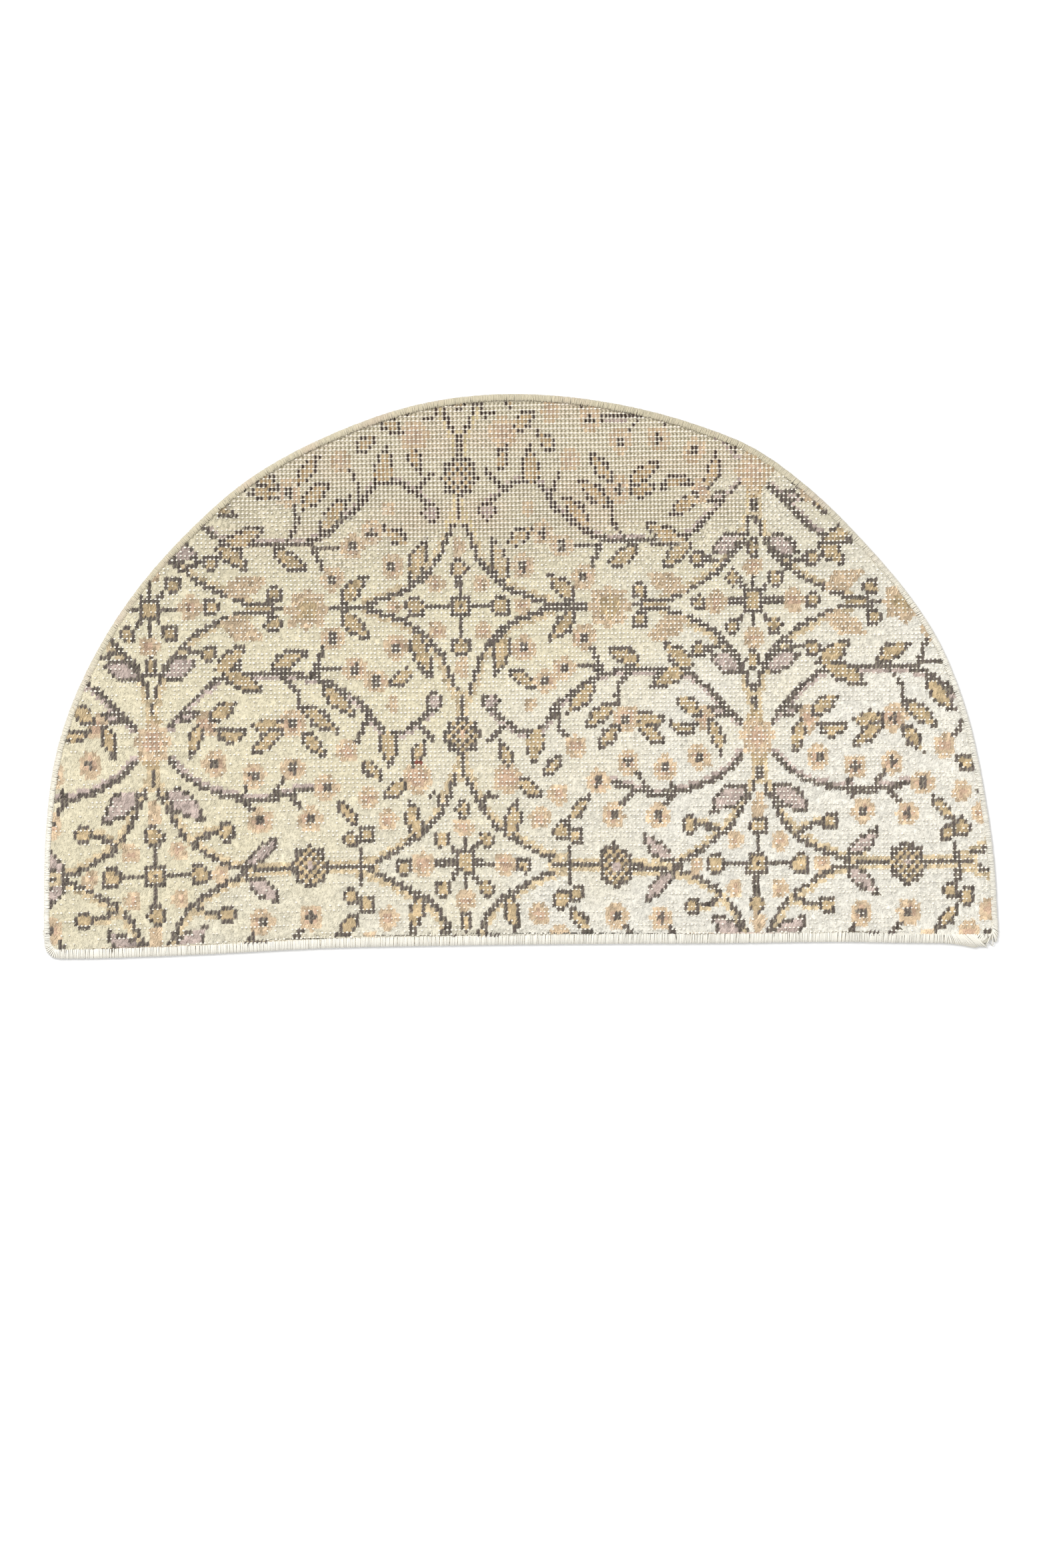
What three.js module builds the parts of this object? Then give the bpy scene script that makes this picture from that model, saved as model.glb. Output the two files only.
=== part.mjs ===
// Half-round wool rug lying flat: a knotted field with overcast edges.
// Millimetres, +Z up, straight edge along X, origin on the floor under the middle of the rug's box.
import * as THREE from "three";

// Clearance between the pieces, and how finely curves are divided
const GAP = 0.3;
const CURVE_STEP_DEG = 2.5;
const BASE_STEP = 28;
const TAB_STEP = 3.5;
const CORNER_STEPS = 5;

// Plan of the curved edge: a radius about a centre a little above the straight edge
const CURVE_CENTRE = new THREE.Vector2(0.3, -184);
const CURVE_RADIUS = 453.3;
const RIGHT_END_DEG = -8;
const LEFT_END_DEG = 187;

// How far the hand-cut curve lies outside (+) or inside (-) that radius, by angle from +X
const CURVE_STRAY = [
  { at: -10, out: 8.8 },
  { at: -4, out: 1.8 },
  { at: 8, out: -4.2 },
  { at: 20, out: -1.0 },
  { at: 28, out: 1.4 },
  { at: 42, out: -0.9 },
  { at: 52, out: 2.5 },
  { at: 60, out: 5.5 },
  { at: 68, out: 1.7 },
  { at: 80, out: -1.2 },
  { at: 100, out: -0.2 },
  { at: 112, out: -1.8 },
  { at: 124, out: -0.7 },
  { at: 134, out: -2.4 },
  { at: 148, out: -0.3 },
  { at: 164, out: 2.9 },
  { at: 174, out: 0.8 },
  { at: 182, out: 1.9 },
  { at: 190, out: 8.0 },
];

// Height in plan of the straight edge, along X: its left third sags a few millimetres
const BASE_LINE = [
  { at: -450, out: -262.9 },
  { at: -400, out: -263.3 },
  { at: -300, out: -261.2 },
  { at: -200, out: -257.8 },
  { at: -150, out: -257.1 },
  { at: 0, out: -257.4 },
  { at: 100, out: -258.4 },
  { at: 200, out: -259.7 },
  { at: 300, out: -260.2 },
  { at: 350, out: -261.8 },
  { at: 400, out: -263.3 },
  { at: 450, out: -264.0 },
];
const LEFT_CORNER_START = -441;
const TAB_START = 430;
const RIGHT_CORNER_START = 445;

// Overcast edges: width in plan and height
const CURVED_WIDTH = 4.5;
const BASE_WIDTH = 7.8;
const BINDING_HEIGHT = 4.8;

// The small tab where the two overcast edges end, at the lower right corner
const TAB = { at: 446.5, reach: 10, drop: 4.4 };

// Height of the field: plush pile, pile worn low round the crown, and the pinched rim
const PLUSH_HEIGHT = 6.5;
const WORN_HEIGHT = 4.0;
const RIM_DROP = 1.6;
const WORN_PATCH = { x: -30, y: 205, reachX: 390, reachY: 215 };
const FIELD_RINGS = [0.3, 0.55, 0.78, 0.93, 0.985, 1];
const RIM_RING = 1;

// Section of an overcast edge: across from the field, and up, as shares of width and height
const BINDING_SECTION = [
  { across: 0.1, up: 0 },
  { across: 0.86, up: 0 },
  { across: 1, up: 0.28 },
  { across: 0.97, up: 0.62 },
  { across: 0.78, up: 0.92 },
  { across: 0.45, up: 1 },
  { across: 0.14, up: 0.9 },
  { across: 0, up: 0.55 },
  { across: 0, up: 0.2 },
];

const WOOL = { color: "#cfc6a9", roughness: 0.95, metalness: 0 };
const EDGE_YARN = { color: "#dcd3bd", roughness: 0.9, metalness: 0 };

// Smooth curve through the rows of a table
function along(rows, at) {
  const last = rows.length - 2;
  const found = rows.findIndex((row) => row.at > at) - 1;
  const k = found < 0 ? (at < rows[0].at ? 0 : last) : found;
  const slope = (i) => {
    const a = rows[Math.max(i - 1, 0)];
    const b = rows[Math.min(i + 1, rows.length - 1)];
    return (b.out - a.out) / (b.at - a.at);
  };
  const [p, q] = [rows[k], rows[k + 1]];
  const span = q.at - p.at;
  const t = (at - p.at) / span;
  const rise = 3 * t ** 2 - 2 * t ** 3;
  const leave = t ** 3 - 2 * t ** 2 + t;
  const arrive = t ** 3 - t ** 2;
  return p.out + rise * (q.out - p.out) + span * (leave * slope(k) + arrive * slope(k + 1));
}

// A point of the field's curved rim at an angle from +X
function curvedRim(deg) {
  const radius = CURVE_RADIUS + along(CURVE_STRAY, deg) - CURVED_WIDTH - GAP;
  const angle = THREE.MathUtils.degToRad(deg);
  return new THREE.Vector2(Math.cos(angle), Math.sin(angle)).multiplyScalar(radius).add(CURVE_CENTRE);
}

// A point of the field's straight rim
function straightRim(x) {
  return new THREE.Vector2(x, along(BASE_LINE, x) + BASE_WIDTH + GAP);
}

// Evenly divided numbers from a to b, both included
function divided(a, b, step) {
  const count = Math.ceil(Math.abs(b - a) / step);
  return Array.from({ length: count + 1 }, (_, i) => a + ((b - a) * i) / count);
}

// A rounded corner of the field, without its two ends
function corner(from, turn, to) {
  const round = new THREE.QuadraticBezierCurve(from, turn, to);
  return round.getPoints(CORNER_STEPS).slice(1, -1);
}

// The field's rim, anticlockwise from the lower right: curve, left corner, straight edge, right corner
function fieldRim() {
  const curve = divided(RIGHT_END_DEG, LEFT_END_DEG, CURVE_STEP_DEG).map(curvedRim);
  const run = divided(LEFT_CORNER_START, TAB_START, BASE_STEP);
  const tab = divided(TAB_START, RIGHT_CORNER_START, TAB_STEP).slice(1);
  const base = [...run, ...tab].map(straightRim);
  const [right, left] = [curve[0], curve.at(-1)];
  const leftTurn = new THREE.Vector2(left.x - 0.8, base[0].y);
  const rightTurn = new THREE.Vector2(right.x + 0.8, base.at(-1).y);
  const leftCorner = corner(left, leftTurn, base[0]);
  const rightCorner = corner(base.at(-1), rightTurn, right);
  return {
    points: [...curve, ...leftCorner, ...base, ...rightCorner],
    curveCount: curve.length,
  };
}

// Outward direction at each point of a closed anticlockwise rim
function outwards(points) {
  return points.map((_, i) => {
    const before = points[(i + points.length - 1) % points.length];
    const after = points[(i + 1) % points.length];
    const run = after.clone().sub(before).normalize();
    return new THREE.Vector2(run.y, -run.x);
  });
}

// Width of the straight edge's binding: full along the base, narrowed at its ends, with the tab's bump
function baseWidth(point, out) {
  const facingDown = Math.max(-out.y, 0);
  const away = (point.x - TAB.at) / TAB.reach;
  const bump = TAB.drop * Math.exp(-(away ** 2) * 2) * facingDown ** 2;
  return CURVED_WIDTH + (BASE_WIDTH - CURVED_WIDTH) * facingDown + bump;
}

// Height of the field at a place in plan
function fieldHeight(p) {
  const away = Math.hypot((p.x - WORN_PATCH.x) / WORN_PATCH.reachX, (p.y - WORN_PATCH.y) / WORN_PATCH.reachY);
  const wear = 1 - THREE.MathUtils.smoothstep(away, 0.35, 1);
  return PLUSH_HEIGHT - (PLUSH_HEIGHT - WORN_HEIGHT) * wear;
}

// A closed solid from vertices and triangles
function solid(vertices, triangles) {
  const geometry = new THREE.BufferGeometry();
  geometry.setAttribute("position", new THREE.Float32BufferAttribute(vertices.flat(), 3));
  geometry.setIndex(triangles.flat());
  geometry.computeVertexNormals();
  return geometry;
}

// The field: a flat underside, an upright rim and a top that is lower where the pile is worn
function fieldGeometry(points) {
  const count = points.length;
  const centre = CURVE_CENTRE;
  const vertices = [[centre.x, centre.y, 0]];
  points.forEach((p) => vertices.push([p.x, p.y, 0]));
  const top = vertices.length;
  vertices.push([centre.x, centre.y, fieldHeight(centre)]);
  FIELD_RINGS.forEach((share) => {
    points.forEach((p) => {
      const at = centre.clone().lerp(p, share);
      const drop = share === RIM_RING ? RIM_DROP : 0;
      vertices.push([at.x, at.y, fieldHeight(at) - drop]);
    });
  });
  const ring = (r, i) => top + 1 + r * count + (i % count);
  const under = (i) => 1 + (i % count);
  const rim = FIELD_RINGS.length - 1;
  const triangles = [];
  for (let i = 0; i < count; i++) {
    triangles.push([0, under(i + 1), under(i)]);
    triangles.push([under(i), under(i + 1), ring(rim, i + 1)]);
    triangles.push([under(i), ring(rim, i + 1), ring(rim, i)]);
    triangles.push([top, ring(0, i), ring(0, i + 1)]);
    for (let r = 0; r < rim; r++) {
      triangles.push([ring(r, i), ring(r + 1, i), ring(r + 1, i + 1)]);
      triangles.push([ring(r, i), ring(r + 1, i + 1), ring(r, i + 1)]);
    }
  }
  return solid(vertices, triangles);
}

// An overcast edge: the binding's section carried along stations of the field's rim
function bindingGeometry(stations) {
  const vertices = [];
  stations.forEach(({ point, out, width }) => {
    BINDING_SECTION.forEach(({ across, up }) => {
      const at = point.clone().addScaledVector(out, GAP + across * width);
      vertices.push([at.x, at.y, up * BINDING_HEIGHT]);
    });
  });
  const sides = BINDING_SECTION.length;
  const index = (s, k) => s * sides + (k % sides);
  const end = stations.length - 1;
  const triangles = [];
  for (let s = 0; s < end; s++) {
    for (let k = 0; k < sides; k++) {
      triangles.push([index(s, k), index(s + 1, k + 1), index(s, k + 1)]);
      triangles.push([index(s, k), index(s + 1, k), index(s + 1, k + 1)]);
    }
  }
  for (let k = 1; k < sides - 1; k++) {
    triangles.push([index(0, 0), index(0, k), index(0, k + 1)]);
    triangles.push([index(end, 0), index(end, k + 1), index(end, k)]);
  }
  return solid(vertices, triangles);
}

// The same station moved along the rim, so that two bindings end a gap apart
function drawnBack(station, towards) {
  const step = towards.point.clone().sub(station.point).setLength(GAP);
  return { ...station, point: station.point.clone().add(step) };
}

function namedMesh(name, geometry, finish) {
  const mesh = new THREE.Mesh(geometry, new THREE.MeshStandardMaterial(finish));
  mesh.name = name;
  return mesh;
}

const rim = fieldRim();
const outs = outwards(rim.points);
const curvedStations = rim.points
  .slice(0, rim.curveCount)
  .map((point, i) => ({ point, out: outs[i], width: CURVED_WIDTH }));
const baseOrder = [...rim.points.keys(), 0].slice(rim.curveCount - 1);
const baseStations = baseOrder.map((i) => ({
  point: rim.points[i],
  out: outs[i],
  width: baseWidth(rim.points[i], outs[i]),
}));
baseStations[0] = drawnBack(baseStations[0], baseStations[1]);
baseStations[baseStations.length - 1] = drawnBack(baseStations.at(-1), baseStations.at(-2));

const rug = new THREE.Group();
rug.add(namedMesh("field", fieldGeometry(rim.points), WOOL));
rug.add(namedMesh("curved_binding", bindingGeometry(curvedStations), EDGE_YARN));
rug.add(namedMesh("base_binding", bindingGeometry(baseStations), EDGE_YARN));
const middle = new THREE.Box3().setFromObject(rug).getCenter(new THREE.Vector3());
rug.position.set(-middle.x, -middle.y, 0);

export default rug;
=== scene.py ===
import math
from types import SimpleNamespace

import bpy
import numpy as np
from bpy.props import FloatProperty, FloatVectorProperty, PointerProperty
from bpy.types import Operator, Panel, PropertyGroup
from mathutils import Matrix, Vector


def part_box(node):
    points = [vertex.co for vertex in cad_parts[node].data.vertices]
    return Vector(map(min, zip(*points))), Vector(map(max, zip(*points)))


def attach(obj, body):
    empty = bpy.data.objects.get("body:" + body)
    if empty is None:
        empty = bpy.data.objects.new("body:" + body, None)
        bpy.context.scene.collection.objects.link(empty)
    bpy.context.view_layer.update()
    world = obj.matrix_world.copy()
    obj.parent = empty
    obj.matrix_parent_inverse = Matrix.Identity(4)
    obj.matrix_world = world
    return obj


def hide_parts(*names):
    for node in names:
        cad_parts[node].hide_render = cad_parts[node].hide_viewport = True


bl_info = {
    "name": "Half-round wool rug",
    "version": (1, 0, 0),
    "blender": (4, 5, 0),
    "location": "3D View > Sidebar > Rug",
    "description": "Knots and overcasts a worn half-round wool rug round its packed solids",
    "category": "Object",
}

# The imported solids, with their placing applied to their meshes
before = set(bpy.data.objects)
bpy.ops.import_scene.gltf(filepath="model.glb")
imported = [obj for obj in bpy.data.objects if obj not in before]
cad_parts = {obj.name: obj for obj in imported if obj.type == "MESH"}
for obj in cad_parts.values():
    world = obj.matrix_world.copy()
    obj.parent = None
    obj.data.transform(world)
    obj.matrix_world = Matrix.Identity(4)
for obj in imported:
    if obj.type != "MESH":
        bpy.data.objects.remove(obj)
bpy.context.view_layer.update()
MM = 0.001

# Directions in plan and up
ACROSS, ALONG, UP = (1.0, 0.0, 0.0), (0.0, 1.0, 0.0), (0.0, 0.0, 1.0)

# Yarns of the knotted pile, and the number of each
YARNS = ("ivory", "charcoal", "gold", "peach", "mauve", "straw", "rust", "rose")
IVORY, CHARCOAL, GOLD, PEACH, MAUVE, STRAW, RUST, ROSE = range(len(YARNS))

# Knots of the repeat, from one column or row of squares to the next
REPEAT_ACROSS = 74
REPEAT_DOWN = 60

# Where the warps lie: knots across from the middle column of squares, and metres
WARP_KNOTS = (-111, -74, -37, 0, 37, 74, 111, 148)
WARP_PLACES = (-0.4964, -0.3484, -0.2004, -0.0524, 0.0899, 0.2273, 0.3716, 0.5159)

# Where the rows lie: knots down from the upper row of squares, and metres
DOWN_KNOTS = (-49, -30, 0, 30, 60, 90)
DOWN_PLACES = (0.273, 0.1885, 0.0664, -0.0575, -0.183, -0.3105)

# The first and the last column and row in which knots are tied
COLUMNS = (WARP_KNOTS[0], WARP_KNOTS[-1])
ROWS = (DOWN_KNOTS[0] - 2, DOWN_KNOTS[-1])

# How far the lower rows bow up, along X, the lines where that starts and is full, and how far the
# upper rows tilt
BOW_PLACES = (-0.45, -0.35, -0.2, -0.05, 0.09, 0.23, 0.37, 0.45)
BOW_RISES = (-0.0045, -0.003, 0.0026, 0.003, 0.0005, -0.001, -0.0015, -0.002)
BOW_FROM, BOW_FULL = -0.06, -0.18
ROW_TILT = -0.0064

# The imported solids' shape: the point that the outline is drawn round, and the heights in the edges'
# section where their inner and outer lines lie
OUTLINE_CENTRE = np.array((0.0, -0.184))
INNER_LEVEL, OUTER_LEVEL = 0.96 * MM, 1.344 * MM

# How near corners of the solids are to such a height, to the floor and to that point, to count as there
LEVEL_CLOSE, FLOOR_CLOSE, CENTRE_CLOSE = 0.02 * MM, 0.01 * MM, 20 * MM

# The patch where the pile is worn low, and the share of its reach within which it is so all over
WORN_MIDDLE = (-0.030, 0.205)
WORN_REACH = (0.390, 0.215)
WORN_FULLY = 0.35

# The patch where nothing of the pile is left but the bases of its knots, the shares of its reach at
# which it is threadbare all over and no longer, and how uneven its rim is
THREADBARE_MIDDLE = (-0.020, 0.240)
THREADBARE_REACH = (0.415, 0.153)
THREADBARE_FULLY, THREADBARE_ENDS = 0.5, 1.15
THREADBARE_STRAY = 0.12

# How much of the cotton shows between the knots, all over and unevenly
BARE_ALL, BARE_STRAY = 0.33, 0.2

# Where more or less of it shows: X and Y of a patch's middle, its reach along X and Y, and how much
BARE_PATCHES = (
    (0.00, 0.10, 0.42, 0.15, 0.70),
    (-0.06, -0.04, 0.20, 0.10, 0.50),
    (0.18, -0.03, 0.18, 0.10, 0.40),
    (0.00, -0.16, 0.12, 0.06, 0.20),
    (-0.22, 0.009, 0.09, 0.012, 0.80),
    (-0.077, -0.02, 0.006, 0.03, 0.60),
    (-0.40, -0.05, 0.13, 0.16, -0.30),
    (0.373, -0.185, 0.09, 0.03, 0.55),
    (-0.347, -0.057, 0.03, 0.03, 0.60),
    (0.221, -0.069, 0.03, 0.03, 0.50),
    (-0.052, -0.057, 0.03, 0.03, 0.50),
)

# How much more or less of it shows along some rows than along their neighbours
ROW_RUNS = 0.45

# The chart, in knots: how thick a dark rim is, and how far a dark line reaches to each side
RIM_REACH = 0.9
LINE_REACH = 0.62

# How far a blossom's pinkish middle lies inside it, the eye of one, and a leaf's half width at its ends
BLOSSOM_RIM = (1.3, 1.5)
EYE_SIZE = (1.1, 1.25)
LEAF_POINT = 0.45

# How far a star's square reaches, and its corners, its filling and its heart
SQUARE_REACH, SQUARE_CORNERS, SQUARE_FILLING, SQUARE_HEART = 2.6, 4.6, 1.6, 0.6

# Shares of a rosette's size that its heart fills, where it has petals only and where it is mottled
PETALS_HEART, MOTTLED_HEART = 0.5, 0.2

# Steps between two points of a smooth line, points along a leaf, and the shortest run that counts
LINE_STEPS, LEAF_POINTS, LEAST_RUN = 6, 13, 1e-9

# Two knots mended in red-brown wool
MENDED = ((-11, 36), (-10, 36))

# Distance from one knot to the next, across and down
PITCH = np.array(
    (
        (WARP_PLACES[-1] - WARP_PLACES[0]) / (WARP_KNOTS[-1] - WARP_KNOTS[0]),
        (DOWN_PLACES[0] - DOWN_PLACES[-1]) / (DOWN_KNOTS[-1] - DOWN_KNOTS[0]),
    )
)

# How far warps, rows and the corners between knots stray, and the weaver's count, in knots
WARP_STRAY, ROW_STRAY, CORNER_STRAY = 0.7 * MM, 0.5 * MM, 0.45 * MM
COUNT_STRAY = 0.45

# Uneven patches: a seed, and how far a patch reaches across and along the rug. Counts, and the runs
# along rows, are in knots, and the others in metres
PATCHES = {
    "warps": (8, 0.12, 0.2),
    "rows": (9, 0.25, 0.1),
    "bare": (10, 0.09, 0.05),
    "count_across": (11, 50, 50),
    "count_down": (12, 50, 50),
    "ripple": (13, 0.01, 0.006),
    "threadbare": (14, 0.07, 0.05),
    "lean_across": (15, 0.05, 0.04),
    "lean_along": (16, 0.05, 0.04),
    "row_runs": (19, 26, 1.7),
    "pink": (20, 0.12, 0.08),
}

# Such patches are a sum of waves, between a shortest and a longest share of the patches' size, and
# scaled so that few of their values lie past 1
WAVES = 14
WAVE_SCALES = (0.6, 1.6)
WAVE_REACH = 1.6

# Seeds of what is uneven from knot to knot or from strand to strand
CORNER_SEED, TONE_SEED, PILE_SEED, IVORY_SEED, COTTON_SEED, EDGE_SEED = 16, 18, 27, 37, 47, 57

# How much the shading of pile is turned towards that of a level surface
NAP_SOFTNESS = 0.75

# How far inside the field's outline a knot is tied
KNOT_CLEAR = 1.1 * MM

# How deep the roots of pile stand in the bed, and sides of a strand, a bead and the edges' core
BURIED = 0.3 * MM
STRAND_SIDES, BEAD_SIDES, CORE_SIDES = 4, 5, 8

# An arm of a knot that is worn low, from the knot's middle. A knot has arms with a chance that is a
# multiple of its wear, and what strays does so by about that much
ARM = SimpleNamespace(
    root=np.array((-1.45, 1.2)) * MM,
    tip=np.array((1.4, 0.15)) * MM,
    rise=0.55 * MM,
    bulge=0.45 * MM,
    bulge_at=0.54,
    dyed_half=1.42 * MM,
    ivory_half=0.66 * MM,
    half_range=(0.8, 1.2),
    dyed_wear=(0.6, 1.0),
    flatness=0.8,
    chance=1.15,
    root_stray=0.14 * MM,
    tip_stray=0.16 * MM,
    rise_stray=0.15 * MM,
    half_stray=0.18,
    tone_stray=0.05,
)

# A lock of dyed pile: its root and its tip are in knots from the middle of its own, and its stations
# are shares of the way along, each with its height over the bed
LOCK = SimpleNamespace(
    root=np.array((-0.30, -0.62)),
    tip=np.array((0.34, 0.80)),
    stations=((0, -0.3 * MM), (0.3, 0.65 * MM), (0.7, 1.0 * MM), (1, 1.1 * MM)),
    half=0.70 * MM,
    flatness=0.5,
    root_stray=(0.55 * MM, 0.35 * MM),
    tip_stray=0.5 * MM,
    half_stray=0.18,
    tone_stray=0.06,
)

# The free tips of full pile. Roots are strewn in knots from the middle of their own, and the lean's
# strays are shares of it. Tips are fewer and shorter where the cotton shows, and lower where worn
NAP = SimpleNamespace(
    strewn=0.55,
    set_back=0.3,
    lean_across=0.3,
    lean_swirl=0.25,
    lean_stray=0.4,
    most=1.25,
    bare_fewer=0.5,
    bare_shorter=0.4,
    worn_lower=0.5,
    rise_stray=0.2 * MM,
    half_range=(0.7, 1.3),
    tone_stray=0.08,
)

# Tips and locks for each knot: undyed, charcoal and dyed, and how far charcoal and ivory are strewn
IVORY_TIPS, CHARCOAL_TIPS, DYED_TIPS = 6.0, 1.8, 6.4
CHARCOAL_LOCKS, DYED_LOCKS = 1.9, 0.3
CHARCOAL_STREWN, IVORY_STREWN = 0.3, 0.45

# A weft where it shows: how far its top lies under that of the pile and how far a float's ends sink,
# then a bead's foot, middle and head, from that top, and its widths beside the weft's thickness
WEFT = SimpleNamespace(
    inset=2.2 * MM,
    floats_from=0.45,
    floats_stray=0.08,
    under=0.55 * MM,
    stray=0.15 * MM,
    float_sizes=(0.9, 1.1),
    float_turn=0.06,
    float_sink=0.25 * MM,
    bead_sizes=(0.7, 1.1),
    bead_foot=-1.0 * MM,
    bead_middle=0.35 * MM,
    bead_head=0.8 * MM,
    bead_width=(0.92, 0.1),
    bead_length=(1.2, 0.12),
    tone_stray=0.05,
)

# How uneven knots of undyed and of dyed wool are, and how much painted shade darkens bare patches, where
# the shadowed lower pile shows
IVORY_UNEVEN, DYED_UNEVEN = 0.055, 0.14
BARE_PAINTED_SHADE = 0.12

# Painted shade: how much darker the full pile gets from the middle of the rug to the crown, for each
# metre
CROWN_PAINTED_SHADE = 0.95

# The same for dyed wool besides, from a line below the middle
DYED_DARKENS, DYED_FROM = 0.80, -0.15

# How dark the bed between the locks of charcoal knots is, between ivory and charcoal
DARK_BED = 0.74

# How pink the worn ground gets, its share of the yarns' colours, and how light the knots' backs are
GROUND_PINK, GROUND_DYED, BACKS_LIGHT = 0.7, 0.2, 0.85

# The foundation's top: how far in the pile is pinched by the edges, and how high it ripples
PINCH_FULL, PINCH_ENDS = 1.5 * MM, 6.5 * MM
RIPPLE = 0.12 * MM

# Below this line the edge beside a knot is the straight one
BASE_ROWS = -0.240

# The small tab at the lower right corner: where its stitches slant, and by how much
TAB_MIDDLE, TAB_REACH, TAB_SLANT = 0.4465, 0.012, 3.0 * MM

# The places along Y between which the edges' yarn goes over from off-white to beige, and how much
# further up that is for each metre to the right
EDGE_FRESH, EDGE_BEIGE, EDGE_TILT = -0.13, 0.2, 0.2

# Where the ivory ground is cut into pieces
IVORY_CUTS = (-0.5, -0.22, 0.0, 0.22, 0.5)

# Sections of stitches: a share of the reach inwards, a share of the width outwards, and a height.
# Wound ones go round the cut rim, and those of the comb lie on them and over the pile
WOUND_SECTION = (
    (1.0, 0.0, 3.5 * MM),
    (0.6, 0.0, 4.3 * MM),
    (0.0, 0.2, 4.5 * MM),
    (0.0, 0.58, 4.1 * MM),
    (0.0, 0.9, 2.7 * MM),
    (0.0, 0.93, 1.2 * MM),
    (0.0, 0.6, 0.4 * MM),
)
COMB_SECTION = (
    (1.0, 0.0, 4.5 * MM),
    (0.6, 0.0, 5.2 * MM),
    (0.0, 0.1, 5.15 * MM),
    (0.0, 0.5, 4.5 * MM),
    (0.0, 0.66, 3.9 * MM),
)

# Painted shade on a wound stitch at each place of its section, darker down the cut rim
WOUND_PAINTED_SHADE = np.array((1.0, 1.0, 1.0, 0.98, 0.9, 0.78, 0.7))

# The turns of yarn wound round an edge: how far they reach in, in millimetres, and how much further
# at the crown, and the angle from which an edge is followed. Halves of a width are shares of the pitch
WOUND = SimpleNamespace(
    reaches={"curved_binding": (0.9, 1.9), "base_binding": (1.7, 3.0)},
    starts={"curved_binding": 1.5 * np.pi, "base_binding": 0.5 * np.pi},
    crown_reach=0.5,
    ease=0.12,
    half=0.62,
    slant=0.4 * MM,
    slant_stray=0.16 * MM,
    tone_stray=0.03,
)

# The comb of stitches over the pile, whose reaches are shares of its setting
COMB = SimpleNamespace(
    reaches=(0.5, 1.5),
    ease=0.2,
    half=0.3,
    sink=0.8 * MM,
    slant_stray=0.25 * MM,
    light=1.03,
    crown_darker=0.05,
    tone_stray=0.04,
)

# Any stitch: how uneven it is, and how clear of the floor it keeps, as a share of its half width
STITCH = SimpleNamespace(stray=0.07 * MM, half_range=(0.82, 1.18), flatness=0.85, clear=0.6)

# The wefts inside an edge: the step along them, how far out and up they lie, half their height, and
# half their width as a share of the edge's
CORE = SimpleNamespace(
    step=6 * MM,
    out=0.46,
    up=2.1 * MM,
    half=1.5 * MM,
    share=0.4,
    # Painted shade: the core is darker where it shows between the stitches
    tone=0.9,
    wear=0.3,
)

# The loose end of yarn at the left: its fibres, the middle of its curl in millimetres, how far that
# spreads, and how far a fibre curls, in radians, and reaches, in millimetres
TUFT = SimpleNamespace(
    count=12,
    stations=6,
    middle=(-454.8, -237.2, 2.6),
    spread=(0.5 * MM, 1.6 * MM, 0.5 * MM),
    turns=(1.6, 3.2),
    reaches=(0.8, 1.9),
    rise=0.4 * MM,
    half=0.28 * MM,
    tone=0.95,
)

# Ends of dark yarn between the stitches: how near the edge their knots lie, the share of these that
# has one, its reach past the field and its half widths, both in millimetres, and the heights of its
# three points, which sink where the pile is low
TICK = SimpleNamespace(
    near=4.6 * MM,
    share=0.8,
    turn=0.2,
    stray=0.4,
    reaches=(0.2, 2.6),
    heights=(4.6 * MM, 5.5 * MM, 5.0 * MM),
    middle_at=0.6,
    sink=0.9 * MM,
    halves=(0.2, 0.36),
)

# Maps of the pieces: the gap round a strand's cell, then the foundation's halves and its rim's strip
CELL_GAP = 0.04
MAP_SIDE, MAP_FOOT, MAP_HALF, MAP_STEP = 0.01, 0.03, 0.46, 0.49
STRIP_LEFT, STRIP_RIGHT, STRIP_LOW, STRIP_HIGH = 0.1, 0.9, 0.004, 0.02

# The foundation's outline: the step along it, how far from its sides and its first and last rows the
# inner corners stay, steps across a knot where a row's ends are found, and the least of them in a row
OUTLINE_STEP, SIDE_CLEAR, ROW_CLEAR = 4 * MM, 1.2 * MM, 0.3 * MM
FINE_STEP, LEAST_STEPS = 0.2, 12

# Painted light: how much lighter the rug gets for each metre to the right
SIDE_LIGHT = 0.19

# The sheen of wool and cotton, how much of the light glances off them, and their fibres' bumps
WOOL_SHEEN = {"Roughness": 0.95, "Sheen Weight": 0.25, "Sheen Roughness": 0.5}
SPECULAR = 0.2
BUMP_HEIGHT, FIBRE_BUMP, THREAD_BUMP = 0.0003, 0.5, 0.7

# Sizes of fibres and threads, and how much less uneven fibres are upwards than across
FIBRE, EDGE_FIBRE, THREAD = 0.0009, 0.0008, 0.0012
FIBRE_STRETCH = (1.0, 1.0, 0.5)

# How much fibres of dyed and of ivory yarn differ in light, and patches of yarn and of the floor
FIBRE_UNEVEN, IVORY_FIBRE_UNEVEN, PATCH_UNEVEN, FLOOR_UNEVEN = 0.28, 0.16, 0.12, 0.03

# Painted shade: how light a yarn is at its root, where it goes into the bed, beside its tip
DYED_ROOT_SHADE, IVORY_ROOT_SHADE, COTTON_ROOT_SHADE = 0.8, 0.9, 0.95

# How dark the gaps between the foundation's threads are, and how much lighter the threads
THREAD_GAPS, THREAD_LIGHT = 0.74, 0.46

# Sizes of the soft patches in yarns, in the ivory ground, in the edges' pink and in the floor
YARN_PATCH, IVORY_PATCH, PINK_PATCH, FLOOR_PATCH = 0.05, 0.11, 0.03, 0.4

# How the ivory ground goes over from yellow to grey for each metre to the right and for each metre
# down, how grey it is at the middle, and how much its patches differ
IVORY_TO_RIGHT, IVORY_DOWN, IVORY_MIDDLE, IVORY_SPREAD = 2.0, 2.6, 0.2, 1.3

# How sharp the edges' pink patches are, and how pink they get, and how matt the floor is
PINK_SHARPNESS, PINK_MOST = 5.0, 0.5
FLOOR_ROUGHNESS = 0.9


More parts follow.
